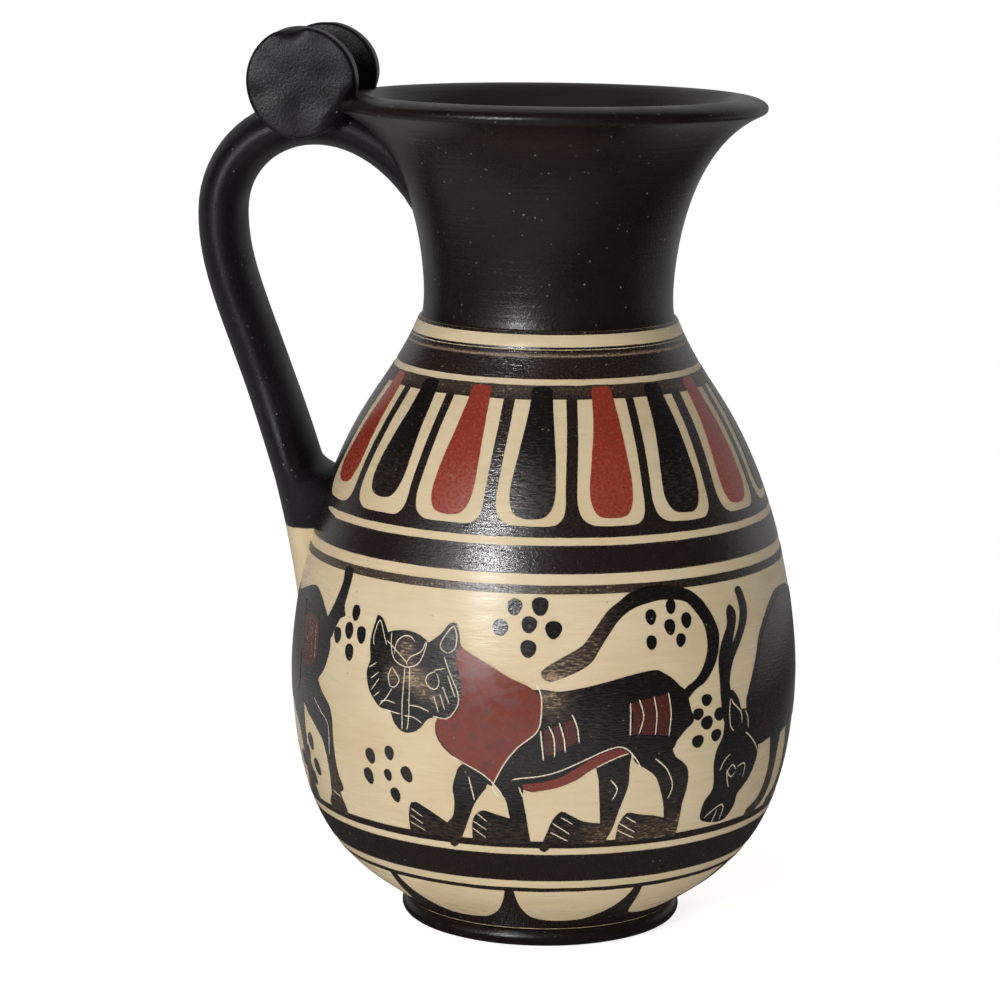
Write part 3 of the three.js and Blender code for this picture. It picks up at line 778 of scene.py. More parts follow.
def strap_width(point, step):
    if step <= STRAP_STEPS:
        return HANDLE_WIDTH
    spread = eased(-point[1], -HANDLE_SPREAD_LEVEL, -HANDLE_ROOT_LEVEL)
    drawn_in = eased(-point[1], -HANDLE_ROOT_LEVEL, -HANDLE_TAIL_LEVEL)
    wide = HANDLE_WIDTH + (HANDLE_ROOT_WIDTH - HANDLE_WIDTH) * spread
    return wide + (HANDLE_TAIL_WIDTH - HANDLE_ROOT_WIDTH) * drawn_in


def strap_web(point, step):
    """The clay thumbed into the corner between the arm's inner side and the belly."""
    if step <= STRAP_STEPS:
        return 0.0
    return HANDLE_WEB * eased(-point[1], -HANDLE_WEB_LEVEL, HANDLE_WEB_HEIGHT - HANDLE_WEB_LEVEL)


def make_handle():
    points = strap_line()
    along = ways(points)
    stations = [0, *range(len(points)), len(points) - 1]
    mesh = bpy.data.meshes.new("jug_handle")
    mesh.from_pydata([(-points[i][0] * MM, 0, points[i][1] * MM) for i in stations], [], [])
    thick, wide, web = (mesh.attributes.new(name, "FLOAT_VECTOR", "POINT") for name in STRAP_SIZES)
    for row, i in enumerate(stations):
        size = 0 if row in (0, len(stations) - 1) else MM / 2
        side = Vector((-along[i][1], 0, -along[i][0]))
        thick.data[row].vector = side * HANDLE_THICKNESS * size
        wide.data[row].vector = Vector((0, 1, 0)) * strap_width(points[i], i) * size
        web.data[row].vector = side * strap_web(points[i], i) * size * 2
    piece = grown("jug_handle", mesh, STRAP, {
        "Sides": STRAP_SIDES, "Roundness": HANDLE_ROUNDNESS, "Material": STRAP_BLACK})
    # The luted ends stop inside the walls of the neck and the belly
    for vertex in piece.data.vertices:
        x, y, z = vertex.co / MM
        line = NECK_OUTSIDE if z > NECK_WAIST_LEVEL else BELLY_OUTSIDE
        wall = radius_at(line, z) - HANDLE_END_COVER
        if math.hypot(x, y) < wall:
            vertex.co.x = -math.sqrt(wall * wall - y * y) * MM
    return piece


# Discs: turned flat, then pressed by hand, with a thumb's dent at the top and a bent lower edge
THUMB_DENT = (-3.6, 18.0)
THUMB_REACH = 6.6
THUMB_DEPTH = 3.6
THUMB_PULL = 0.5
DISC_FULL_SIDE = math.radians(140)
BENT_EDGE = (0.83, -0.56)
BENT_EDGE_START = 11.2
BENT_EDGE_SLOPE = 1.3
PRESSED_FROM = -1.0
DISC_SHRINK = 0.972
DISC_LOPSIDED = 0.052
DISC_THREE_SIDED = 0.012
DISC_THREE_SIDED_TURN = 0.5
FINGER_RIPPLE = 0.35
FINGER_RIPPLE_SIZE = 6.25


def pressed(u, v, w):
    """Moves a point of a disc, given across, up and outward from its middle, as fingers would."""
    turn = math.atan2(v, u)
    lopsided = DISC_LOPSIDED * math.cos(turn - DISC_FULL_SIDE)
    three_sided = DISC_THREE_SIDED * math.cos(3 * turn - DISC_THREE_SIDED_TURN)
    swell = DISC_SHRINK + lopsided + three_sided
    u, v = u * swell, v * swell
    dent = eased(THUMB_REACH - math.hypot(u - THUMB_DENT[0], v - THUMB_DENT[1]), 0, THUMB_REACH)
    outer = eased(w, PRESSED_FROM, DISC_THICKNESS / 2)
    w -= THUMB_DEPTH * dent * outer
    v -= THUMB_PULL * THUMB_DEPTH * dent * outer
    past = max(u * BENT_EDGE[0] + v * BENT_EDGE[1] - BENT_EDGE_START, 0)
    w -= BENT_EDGE_SLOPE * past * outer
    w += FINGER_RIPPLE * noise.noise(Vector((u, v, w)) / FINGER_RIPPLE_SIZE)
    return u, v, w


def make_disc(name, side, radius, reach, level):
    half = DISC_THICKNESS / 2
    flat = radius - DISC_EDGE_ROUNDING
    faces = [at(flat * ring / DISC_RINGS, half) for ring in range(DISC_RINGS)]
    rounding = quarter(at(flat, half), at(radius, half - DISC_EDGE_ROUNDING), False, EDGE_STEPS)
    outer = [*faces, *rounding]
    inner = [at(p[0], -p[1]) for p in reversed(outer)]
    piece = grown(name, line_mesh(name, outer + inner), TURNING, {
        "Steps": DISC_STEPS, "Material": STRAP_BLACK})
    middle = side * (HANDLE_WIDTH / 2 + LUTING + half)
    for vertex in piece.data.vertices:
        u, v, w = pressed(*(vertex.co / MM))
        vertex.co = Vector((u - reach, middle + side * w, level + v)) * MM
    return piece


keep(make_foot(), "black_slip", "foot_disc")
belly = make_belly()
keep(belly, "cream_clay", "belly")
keep(make_neck(), "black_slip", "neck")
collar = make_collar()
keep(collar, "cream_clay", "neck_collar")
keep(make_handle(), "black_slip", "handle")
disc_front = make_disc("jug_disc_front", -1, DISC_RADIUS, DISC_REACH, DISC_LEVEL)
disc_back = make_disc("jug_disc_back", 1, BACK_DISC_RADIUS, BACK_DISC_REACH, BACK_DISC_LEVEL)
keep(disc_front, "black_slip", "disc_front")
keep(disc_back, "black_slip", "disc_back")

# Painted slip: shapes cut flat, in millimetres round the girth from the front and up, then laid on the pot
GIRTH = math.tau * BELLY_RADIUS
HALF_ROUND = GIRTH / 2
HANDLE_SEAM = -GIRTH / 4
SEAM = (HANDLE_SEAM, HANDLE_SEAM + GIRTH)
SLIP_SUNK = 0.12
BAND_LIFT = 0.10
FIGURE_LIFT = 0.15
RED_LIFT = 0.21
ROOT_GROUND_LIFT = 0.12
MESH_PITCH = 2.6
FINE_PITCH = 0.5
CURVE_PITCH = 0.9
RAY_START = 0.2
CUT_TOLERANCE = 1e-4
SEAM_TOLERANCE = 1e-3
SCRATCH_END_SHARE = 0.28
STRIP_COLUMNS = 137


def round_the_pot(tree, place, girth_radius):
    """The way outward, the level and the thickness of a flat place once it is wrapped round the axis."""
    split = add(tree, "ShaderNodeSeparateXYZ", {}, {0: place}).outputs
    angle = add(tree, "ShaderNodeMath", {"operation": "DIVIDE"}, {0: split["X"], 1: girth_radius})
    sine = add(tree, "ShaderNodeMath", {"operation": "SINE"}, {0: angle})
    cosine = add(tree, "ShaderNodeMath", {"operation": "COSINE"}, {0: angle})
    front = add(tree, "ShaderNodeMath", TIMES, {0: cosine, 1: -1.0})
    outward = add(tree, "ShaderNodeCombineXYZ", {}, {"X": sine, "Y": front})
    level = add(tree, "ShaderNodeCombineXYZ", {}, {"Z": split["Y"]})
    return outward, level, split["Z"]


def laying_tree():
    """Copies a flat shape round the girth, wobbles it as a hand would and lays it on the pot's surface."""
    tree, given = start_tree("slip_laid_on_pot", {
        "Pot": "Object", "Girth radius": "Float", "Copies": "Int", "Step": "Float",
        "Wobble": "Float", "Wobble scale": "Float", "Seed": "Float", "Material": "Material"})
    step = add(tree, "ShaderNodeCombineXYZ", {}, {"X": given["Step"]})
    starts = add(tree, "GeometryNodeMeshLine", {}, {"Count": given["Copies"], "Offset": step})
    copies = add(tree, "GeometryNodeInstanceOnPoints", {}, {"Points": starts, "Instance": given["Geometry"]})
    flat = add(tree, "GeometryNodeRealizeInstances", {}, {"Geometry": copies})
    place = add(tree, "GeometryNodeInputPosition")
    outward, level, _ = round_the_pot(tree, place, given["Girth radius"])
    ring = add(tree, "ShaderNodeVectorMath", {"operation": "SCALE"}, {
        0: outward, "Scale": given["Girth radius"]})
    spot = add(tree, "ShaderNodeVectorMath", {"operation": "ADD"}, {0: ring, 1: level})
    shake = add(tree, "ShaderNodeTexNoise", {"noise_dimensions": "4D"}, {
        "Vector": spot, "W": given["Seed"], "Scale": given["Wobble scale"], "Detail": 3})
    centred = add(tree, "ShaderNodeVectorMath", {"operation": "SUBTRACT"}, {
        0: shake.outputs["Color"], 1: (0.5, 0.5, 0.5)})
    sideways = add(tree, "ShaderNodeVectorMath", TIMES, {0: centred, 1: (1, 1, 0)})
    moved = add(tree, "ShaderNodeVectorMath", {"operation": "SCALE"}, {
        0: sideways, "Scale": given["Wobble"]})
    strayed = add(tree, "ShaderNodeVectorMath", {"operation": "ADD"}, {0: place, 1: moved})
    outward, level, thickness = round_the_pot(tree, strayed, given["Girth radius"])
    far = add(tree, "ShaderNodeVectorMath", {"operation": "SCALE"}, {0: outward, "Scale": RAY_START})
    source = add(tree, "ShaderNodeVectorMath", {"operation": "ADD"}, {0: far, 1: level})
    inward = add(tree, "ShaderNodeVectorMath", {"operation": "SCALE"}, {0: outward, "Scale": -1.0})
    pot = add(tree, "GeometryNodeObjectInfo", {"transform_space": "RELATIVE"}, {"Object": given["Pot"]})
    cast = add(tree, "GeometryNodeRaycast", {}, {
        "Target Geometry": pot.outputs["Geometry"], "Source Position": source,
        "Ray Direction": inward, "Ray Length": RAY_START})
    lift = add(tree, "ShaderNodeVectorMath", {"operation": "SCALE"}, {
        0: cast.outputs["Hit Normal"], "Scale": thickness})
    laid = add(tree, "ShaderNodeVectorMath", {"operation": "ADD"}, {0: cast.outputs["Hit Position"], 1: lift})
    shaped = add(tree, "GeometryNodeSetPosition", {}, {"Geometry": flat, "Position": laid})
    end_tree(tree, shaped, given["Material"])
    return tree


def dabbing_tree():
    """Puts a round dab at every point of the object's mesh, with the size and lean of that point."""
    tree, given = start_tree("dabs_at_points", {
        "Dab": "Object", "Spread": "Float", "Seed": "Int", "Material": "Material"})
    dab = add(tree, "GeometryNodeObjectInfo", {"transform_space": "RELATIVE"}, {"Object": given["Dab"]})
    less = add(tree, "ShaderNodeMath", TIMES, {0: given["Spread"], 1: -1.0})
    chance = add(tree, "FunctionNodeRandomValue", {"data_type": "FLOAT"}, {
        2: less, 3: given["Spread"], "Seed": given["Seed"]})
    lean = add(tree, "GeometryNodeInputNamedAttribute", {"data_type": "FLOAT"}, {"Name": "lean"})
    turn = add(tree, "ShaderNodeMath", {"operation": "ADD"}, {0: lean, 1: chance.outputs[1]})
    axis = add(tree, "ShaderNodeCombineXYZ", {}, {"Z": turn})
    half = add(tree, "GeometryNodeInputNamedAttribute", {"data_type": "FLOAT_VECTOR"}, {"Name": "half"})
    swell = add(tree, "ShaderNodeMath", TIMES_PLUS, {0: chance.outputs[1], 1: 0.5, 2: 1.0})
    size = add(tree, "ShaderNodeCombineXYZ", {}, {"X": swell, "Y": swell, "Z": 1.0})
    scale = add(tree, "ShaderNodeVectorMath", TIMES, {0: half, 1: size})
    dabs = add(tree, "GeometryNodeInstanceOnPoints", {}, {
        "Points": given["Geometry"], "Instance": dab.outputs["Geometry"],
        "Rotation": axis, "Scale": scale})
    end_tree(tree, dabs, given["Material"])
    return tree


LAYING = laying_tree()
DABBING = dabbing_tree()


def curved(points, closed=True):
    """A smooth line through given points. A point given twice makes a corner."""
    line = np.array(points, float)
    count = len(line)
    smooth = []
    for i in range(count if closed else count - 1):
        if closed:
            a, b, c, d = (line[(i + k) % count] for k in (-1, 0, 1, 2))
        else:
            a, b, c, d = (line[min(max(i + k, 0), count - 1)] for k in (-1, 0, 1, 2))
        steps = max(int(np.linalg.norm(c - b) / CURVE_PITCH), 1)
        for t in np.arange(steps) / steps:
            smooth.append(0.5 * (2 * b + (c - a) * t + (2 * a - 5 * b + 4 * c - d) * t * t
                                 + (3 * b - a - 3 * c + d) * t ** 3))
    if not closed:
        smooth.append(line[-1])
    return np.array(distinct(smooth))


def scratch(points, width):
    """The outline of an incised line, a point's width across and thinner at its ends."""
    line = curved(points, closed=False)
    along = ways(line)
    side = np.stack([-along[:, 1], along[:, 0]], 1)
    ends = np.minimum(np.arange(len(line)), np.arange(len(line))[::-1])
    half = np.where(ends == 0, width * SCRATCH_END_SHARE, width / 2)[:, None]
    return np.concatenate([line + side * half, (line - side * half)[::-1]])


def inside(loop, points):
    """Which of the points lie within a closed outline."""
    x, y = points[:, 0], points[:, 1]
    within = np.zeros(len(points), bool)
    ahead = np.roll(loop, -1, axis=0)
    for (x0, y0), (x1, y1) in zip(loop, ahead):
        if y0 != y1:
            crosses = (y0 > y) != (y1 > y)
            within ^= crosses & (x < x0 + (y - y0) * (x1 - x0) / (y1 - y0))
    return within


def cut_flat(name, shapes, holes=(), lift=FIGURE_LIFT, worn=None, seam=None):
    """A thin closed sheet of slip: all the shapes together, less the holes and incised lines."""
    corners, edges = [], []
    for loop in (*shapes, *holes):
        first = len(corners)
        corners += [Vector(p) for p in loop]
        edges += [(first + i, first + (i + 1) % len(loop)) for i in range(len(loop))]
    every = np.concatenate([np.array(loop) for loop in shapes])
    low, high = every.min(axis=0), every.max(axis=0)
    across = np.arange(low[0] + MESH_PITCH / 2, high[0], MESH_PITCH)
    upward = np.arange(low[1] + MESH_PITCH / 2, high[1], MESH_PITCH)
    corners += [Vector((x, y)) for x in across for y in upward]
    points, _, faces, *_ = delaunay_2d_cdt(corners, edges, [], 0, CUT_TOLERANCE)
    points = np.array([tuple(p) for p in points])
    faces = np.array(faces)
    middles = points[faces].mean(axis=1)
    kept = np.any([inside(np.array(loop), middles) for loop in shapes], axis=0)
    for loop in holes:
        kept &= ~inside(np.array(loop), middles)
    used, faces = np.unique(faces[kept], return_inverse=True)
    return slip_sheet(name, points[used], faces.reshape(-1, 3), lift, worn, seam)


def slip_sheet(name, points, faces, lift, worn=None, seam=None):
    """Gives a flat sheet its thickness, its own lay map in metres and how thin the brush left it."""
    count = len(points)
    sides = dict.fromkeys((int(a), int(b)) for face in faces for a, b in zip(face, np.roll(face, -1)))
    open_edges = [(a, b) for a, b in sides if (b, a) not in sides]
    if seam is not None:
        on_seam = np.any([np.abs(points[:, 0] - side) < SEAM_TOLERANCE for side in seam], axis=0)
        open_edges = [(a, b) for a, b in open_edges if not (on_seam[a] and on_seam[b])]
    spots = [(x * MM, y * MM, z * MM) for z in (lift, -SLIP_SUNK) for x, y in points]
    whole = [tuple(int(i) for i in face) for face in faces]
    whole += [tuple(int(i) + count for i in reversed(face)) for face in faces]
    whole += [(b, a, a + count, b + count) for a, b in open_edges]
    mesh = bpy.data.meshes.new(name)
    mesh.from_pydata(spots, [], whole)
    lay = mesh.uv_layers.new(name="lay")
    for corner in mesh.loops:
        lay.data[corner.index].uv = spots[corner.vertex_index][:2]
    thin = mesh.attributes.new("thin", "FLOAT", "POINT")
    for i, (x, y) in enumerate(points):
        thin.data[i].value = thin.data[i + count].value = worn(x, y) if worn else 0.0
    return mesh


def band_flat(name, low, high, worn):
    """A flat strip for a band that runs all the way round and closes at the handle."""
    columns = int(GIRTH / MESH_PITCH)
    rows = max(int((high - low) / FINE_PITCH), 1)
    points = [(HANDLE_SEAM + GIRTH * i / columns, low + (high - low) * j / rows)
              for i in range(columns + 1) for j in range(rows + 1)]
    starts = [i * (rows + 1) + j for i in range(columns) for j in range(rows)]
    faces = [(a, a + rows + 1, a + rows + 2, a + 1) for a in starts]
    return slip_sheet(name, np.array(points), faces, BAND_LIFT, worn, SEAM)


def lay_slip(name, mesh, material, slot, copies=1, step=0.0,
             wobble=0.35, wobble_scale=140, seed=0.0, pot=None):
    """Lays a flat sheet on the belly, or on another turned piece, and keeps it as a piece of the jug."""
    piece = grown(name, mesh, LAYING, {
        "Pot": pot or belly, "Girth radius": BELLY_RADIUS * MM, "Copies": copies, "Step": step * MM,
        "Wobble": wobble * MM, "Wobble scale": float(wobble_scale), "Seed": float(seed),
        "Material": material})
    keep(piece, slot)


def painted_slip(name, full, second, thin_tone, bare, dryness, ridges, bristle):
    """Slip brushed on and fired: a satin coat with bristle streaks, browner and barer where it is thin.

    The bristle marks are given as their sizes in millimetres, along the girth and up the pot."""
    material, tree, shader = start_material(name, {"Roughness": 0.25, "IOR": 1.65, "Specular IOR Level": 1.0})
    place = add(tree, "ShaderNodeTexCoord").outputs["Object"]
    lay = add(tree, "ShaderNodeUVMap", {"uv_map": "lay"})
    thin = add(tree, "ShaderNodeAttribute", {"attribute_name": "thin"}).outputs["Fac"]
    # Clouds 12 mm across, grain of 0.67 mm, turning lines 0.43 mm apart
    stretch = add(tree, "ShaderNodeMapping", {}, {"Vector": lay, "Scale": (*to_a_metre(*bristle), 1)})
    streaks = add(tree, "ShaderNodeTexNoise", {}, {
        "Vector": stretch, "Scale": 1, "Detail": 8, "Roughness": 0.62})
    cloud = add(tree, "ShaderNodeTexNoise", {}, {"Vector": place, "Scale": to_a_metre(11.76), "Detail": 5})
    grain = add(tree, "ShaderNodeTexNoise", {}, {"Vector": place, "Scale": to_a_metre(0.6667), "Detail": 3})
    along = add(tree, "ShaderNodeMapping", {}, {"Vector": place, "Scale": to_a_metre(2.857, 2.857, 0.4348)})
    turning = add(tree, "ShaderNodeTexNoise", {}, {"Vector": along, "Scale": 1, "Detail": 3})
    tone = add(tree, "ShaderNodeMix", COLOURS, {0: cloud, MIX_A: linear(full), MIX_B: linear(second)})
    weak = add(tree, "ShaderNodeMath", TIMES_PLUS, {0: thin, 1: 0.42, 2: streaks})
    rubbed = add(tree, "ShaderNodeMapRange", {}, {
        "Value": weak, "From Min": 0.62 - dryness, "From Max": 0.92 - dryness})
    browner = add(tree, "ShaderNodeMix", COLOURS, {
        0: rubbed, MIX_A: tone.outputs[MIX_RESULT], MIX_B: linear(thin_tone)})
    barer = add(tree, "ShaderNodeMath", TIMES_PLUS, {0: grain, 1: 0.35, 2: weak})
    broken = add(tree, "ShaderNodeMapRange", {}, {
        "Value": barer, "From Min": 1.02 - dryness, "From Max": 1.16 - dryness, "To Max": 0.8})
    through = add(tree, "ShaderNodeMix", COLOURS, {
        0: broken, MIX_A: browner.outputs[MIX_RESULT], MIX_B: linear(bare)})
    # Chips about 0.4 mm wide in some of the places 1.6 mm apart
    chip = specks(tree, place, spacing=1.5625, widest=0.22, solid=0.12, common=0.74, rare=0.92, strength=0.6)
    chipped = add(tree, "ShaderNodeMix", COLOURS, {
        0: chip, MIX_A: through.outputs[MIX_RESULT], MIX_B: linear(bare)})
    rough = add(tree, "ShaderNodeMapRange", {}, {
        "Value": weak, "From Min": 0.3, "From Max": 0.8, "To Min": 0.16, "To Max": 0.34})
    relief = add(tree, "ShaderNodeMath", TIMES_PLUS, {0: grain, 1: 0.35, 2: turning})
    finish_material(tree, shader, chipped, rough, relief, strength=ridges, depth=0.2)
    return material


BAND_BLACK = painted_slip(
    "black_slip_brushed", "#1a100c", "#261812", "#4a3828", "#b09a7c",
    dryness=0.0, ridges=0.75, bristle=(0.7692, 0.5263))
FIGURE_BLACK = painted_slip(
    "black_slip_figures", "#0b0605", "#130b08", "#533d2b", "#b8a07c",
    dryness=0.0, ridges=0.55, bristle=(2.326, 0.4348))
RED = painted_slip(
    "iron_red_slip_brushed", "#8d2e1e", "#9b3926", "#a64c36", "#d4a98a",
    dryness=0.06, ridges=0.2, bristle=(1.111, 0.7692))
CHEST_RED = painted_slip(
    "iron_red_slip_mottled", "#842d1c", "#762a1a", "#57241b", "#b28a72",
    dryness=0.02, ridges=0.14, bristle=(3.846, 2.381))
DULL_RED = painted_slip(
    "iron_red_slip_over_black", "#4f1d14", "#5d251a", "#331812", "#a98a70",
    dryness=0.03, ridges=0.2, bristle=(1.667, 0.8333))
WINE = painted_slip(
    "wine_red_slip_brushed", "#231012", "#2d1416", "#3d1f1e", "#7a5a48",
    dryness=0.0, ridges=0.25, bristle=(2.0, 0.8333))

# Bands and lines that run all the way round, as low and high edges
BANDS = {
    "band_shoulder": (155.3, 162.4),
    "band_girth": (108.0, 115.0),
    "line_over_frieze": (103.0, 105.2),
    "ground_line": (35.2, 37.2),
    "band_low": (24.8, 33.2),
}

# How thin the brush left them, from 0 where the slip is full to 1 where it is nearly gone
DRY_LINE = 0.42
DRIER_SIDE = 0.3
DRIER_SIDE_START = 45
DRIER_SIDE_FADE = 25
SHOULDER_THIN = 0.3
RUBBED_RIDGE = 0.85
RUBBED_LINE_LEVEL = 161.0
RUBBED_LINE_HALF = 0.4
RUBBED_LINE_BLUR = 0.3
BAND_THIN = 0.02
BAND_EDGE_THINNER = 0.5
THIN_EDGE = 0.7
COLLAR_EDGE_THIN = 0.2


def band_wear(name):
    """How thin the brush left a band: one line is dry, and a ridge on the shoulder is rubbed."""
    if name == "line_over_frieze":
        return lambda x, y: DRY_LINE + DRIER_SIDE * eased(DRIER_SIDE_START - x, 0, DRIER_SIDE_FADE)
    if name == "band_shoulder":
        return lambda x, y: SHOULDER_THIN + RUBBED_RIDGE * eased(
            RUBBED_LINE_HALF - abs(y - RUBBED_LINE_LEVEL), -RUBBED_LINE_BLUR, RUBBED_LINE_BLUR)
    low, high = BANDS[name]
    return lambda x, y: BAND_THIN + BAND_EDGE_THINNER * eased(
        THIN_EDGE - min(y - low, high - y), 0, THIN_EDGE)


# The black runs a little up the collar from the shoulder, and a little down it from the neck
COLLAR_EDGES = {"slip_under_collar": (162.3, 163.15, 0.25), "slip_over_collar": (166.25, 166.97, 0.05)}
COLLAR_SEED = 7


def make_bands():
    for seed, (name, (low, high)) in enumerate(BANDS.items()):
        flat = band_flat(name, low, high, band_wear(name))
        lay_slip(name, flat, BAND_BLACK, "black_slip", seed=seed)
    for seed, (name, (low, high, wander)) in enumerate(COLLAR_EDGES.items()):
        flat = band_flat(name, low, high, lambda x, y: COLLAR_EDGE_THIN)
        lay_slip(name, flat, BAND_BLACK, "black_slip", wobble=wander, seed=COLLAR_SEED + seed, pot=collar)


# Tongues on the shoulder: pale gaps in a black comb, each with a red or a black tongue
TONGUE_COUNT = 15
TONGUE_STEP = math.radians(21.4) * BELLY_RADIUS
FIRST_TONGUE = -77.0
COMB_LOW = 117.0
COMB_HIGH = 153.8
GAP_TOP = 150.4
GAP = [(-9.4, GAP_TOP), (-9.4, GAP_TOP), (-10.6, 139), (-11.8, 128), (-11.7, 124.4), (-10.5, 121.7),
       (-7.8, 120.1), (-4, 119.7), (4.5, 119.7), (7.6, 120.3), (9.4, 122.2), (10, 125.2), (10.2, 130),
       (11.2, 142), (11.7, GAP_TOP), (11.7, GAP_TOP)]
TONGUE = [(-2.5, 153.0), (-2.9, 150.5), (-3.8, 145), (-5.6, 138), (-7.5, 129), (-7.1, 124.6), (-5, 122.2),
          (-0.5, 121.5), (3.8, 122.2), (6.2, 125.5), (7.0, 131), (6.7, 141), (6.2, 150.5), (5.6, 153.0),
          (1.4, 153.4)]
ROOT_GROUND = [(-139, 118), (-79.5, 117.9), (-83, 116.4), (-77, 114.6), (-139, 114.6), (-135, 116.4)]

# How far the hand strayed at each tongue in sight: the gap's left and right edges, the tongue, its short end
STRAYED = [(0.5, -0.5, 0.0, 2.7), (-1.4, 0.0, -0.3, 1.9), (0.0, 1.8, 0.6, 0.0), (0.8, 0.8, 1.1, 0.0),
           (0.6, 0.6, 0.6, 0.0), (0.0, 0.3, 0.0, 0.0)]
EVEN = (0.0, 0.0, 0.0, 0.0)
SHORT_FROM = 134
SHORT_TO = 126
TONGUE_DRIFT = 0.5
TONGUE_DRIFT_PACE = 2.3
TONGUE_SEED = 20
COMB_ROWS = 13
COMB_THIN = 0.15
COMB_TOP_THINNER = 0.5
COMB_TOP_BLUR = 0.5
TONGUE_THIN = 0.1
TONGUE_LOW_THINNER = 0.25
TONGUE_LOW_LEVEL = 140
TONGUE_LOW_FADE = 10


def placed(points, across, up=0.0):
    return [(x + across, y + up) for x, y in points]


def ring_outline(low, high, rows):
    """The outline of a strip that runs all the way round, from the handle and back to it."""
    length = np.linspace(*SEAM, STRIP_COLUMNS)
    sides = np.linspace(low, high, rows)
    return np.array([(x, low) for x in length] + [(length[-1], y) for y in sides[1:-1]]
                    + [(x, high) for x in length[::-1]] + [(length[0], y) for y in sides[-2:0:-1]])


def comb_wear(x, y):
    """The comb's black is thin over the tops of the gaps."""
    return COMB_THIN + COMB_TOP_THINNER * eased(y, GAP_TOP - COMB_TOP_BLUR, GAP_TOP + COMB_TOP_BLUR)


def tongue_wear(x, y):
    """A tongue thins towards its lower end."""
    return TONGUE_THIN + TONGUE_LOW_THINNER * eased(TONGUE_LOW_LEVEL - y, 0, TONGUE_LOW_FADE)


def make_comb():
    gaps, tongues = [], []
    for i in range(TONGUE_COUNT):
        left, right, moved, short = STRAYED[i] if i < len(STRAYED) else EVEN
        place = FIRST_TONGUE + TONGUE_STEP * i
        middle = place + TONGUE_DRIFT * math.sin(TONGUE_DRIFT_PACE * i)
        gaps.append(curved(placed([(x + (left if x < 0 else right), y) for x, y in GAP], middle)))
        shape = [(x, y + short * eased(SHORT_FROM - y, 0, SHORT_FROM - SHORT_TO)) for x, y in TONGUE]
        tongues.append(curved(placed(shape, place + moved)))
    flat = cut_flat("comb", [ring_outline(COMB_LOW, COMB_HIGH, COMB_ROWS)], gaps, BAND_LIFT, comb_wear, SEAM)
    lay_slip("tongue_comb", flat, BAND_BLACK, "black_slip", wobble=0.6, wobble_scale=110, seed=11)
    root = cut_flat("root_ground", [curved(ROOT_GROUND)], (), ROOT_GROUND_LIFT)
    lay_slip("handle_root_ground", root, BAND_BLACK, "black_slip", seed=12)
    for name, first, material, slot in (
            ("red_tongues", 0, RED, "red_slip"), ("black_tongues", 1, FIGURE_BLACK, "black_slip")):
        flat = cut_flat(name, tongues[first::2], (), FIGURE_LIFT, tongue_wear)
        lay_slip(name, flat, material, slot, wobble=1.2, wobble_scale=90, seed=TONGUE_SEED + first)


# Base: a black ring with pale half-moons cut out of it, so that thin wedges stand between them
WEDGE_COUNT = 10
WEDGE_STEP = GIRTH / WEDGE_COUNT
FIRST_WEDGE = -4.5
BASE_LOW = 5.3
BASE_HIGH = 22.3
BASE_ROWS = 8
BASE_THIN = 0.12
HALF_MOON = [(1.5, 21), (1.5, 21), (2.8, 15), (5.5, 11), (9, 9.4), (16, 8.5), (23.7, 8.5), (29.7, 9.1),
             (33.7, 10.5), (37.7, 13), (40.7, 17), (42.2, 21), (42.2, 21), (22, 21.1)]


def make_base():
    start = FIRST_WEDGE - 2 * WEDGE_STEP
    moons = [curved(placed(HALF_MOON, start + WEDGE_STEP * i)) for i in range(-1, WEDGE_COUNT)]
    flat = cut_flat("base", [ring_outline(BASE_LOW, BASE_HIGH, BASE_ROWS)], moons, BAND_LIFT,
                    lambda x, y: BASE_THIN, SEAM)
    lay_slip("base_wedges", flat, BAND_BLACK, "black_slip", wobble=0.6, seed=31)


# Striding cat, facing out: head, body, legs with paws and a curled tail, each a given outline
CAT_HEAD = [(-43.3, 94), (-43.3, 94), (-44.7, 88.7), (-44.8, 85.3), (-44.3, 82.3), (-45.3, 78.7),
            (-44.3, 74.7), (-42.3, 72), (-40, 70.1), (-36.7, 69.7), (-35.7, 67.3), (-34, 65.3),
            (-31.7, 64.5), (-28.7, 65.3), (-26.7, 67), (-25.3, 68.8), (-23.3, 69.7), (-21.3, 69.5),
            (-19, 70), (-17.1, 71.5), (-15.8, 74), (-15.8, 78.4), (-16.6, 82), (-17.9, 85.2), (-17.1, 88),
            (-16.9, 90.7), (-18.2, 94.5), (-20.2, 94.3), (-22.3, 91.7), (-25.7, 89), (-25.7, 89),
            (-29.3, 90.8), (-33.3, 91.3), (-37.3, 90.7), (-39, 90), (-39, 90), (-41.3, 93.3)]
CAT_NECK = [(-18.6, 90.6), (-16, 88), (-12.7, 86.3), (-8.7, 84.3), (-3.3, 81.3), (2, 79), (4.7, 76.7),
            (5.7, 74.7), (5.3, 71.3), (4.3, 68), (2.7, 66.3), (-0.7, 63.3), (-3.3, 60), (-5.3, 56.7),
            (-7.3, 52.3), (-7.3, 52.3), (-10, 55.7), (-14.7, 57.7), (-18.7, 60.3), (-21.3, 62.7),
            (-22.7, 65.3), (-22.9, 68), (-22.3, 69.5), (-19, 74), (-20.6, 80), (-21.5, 86)]
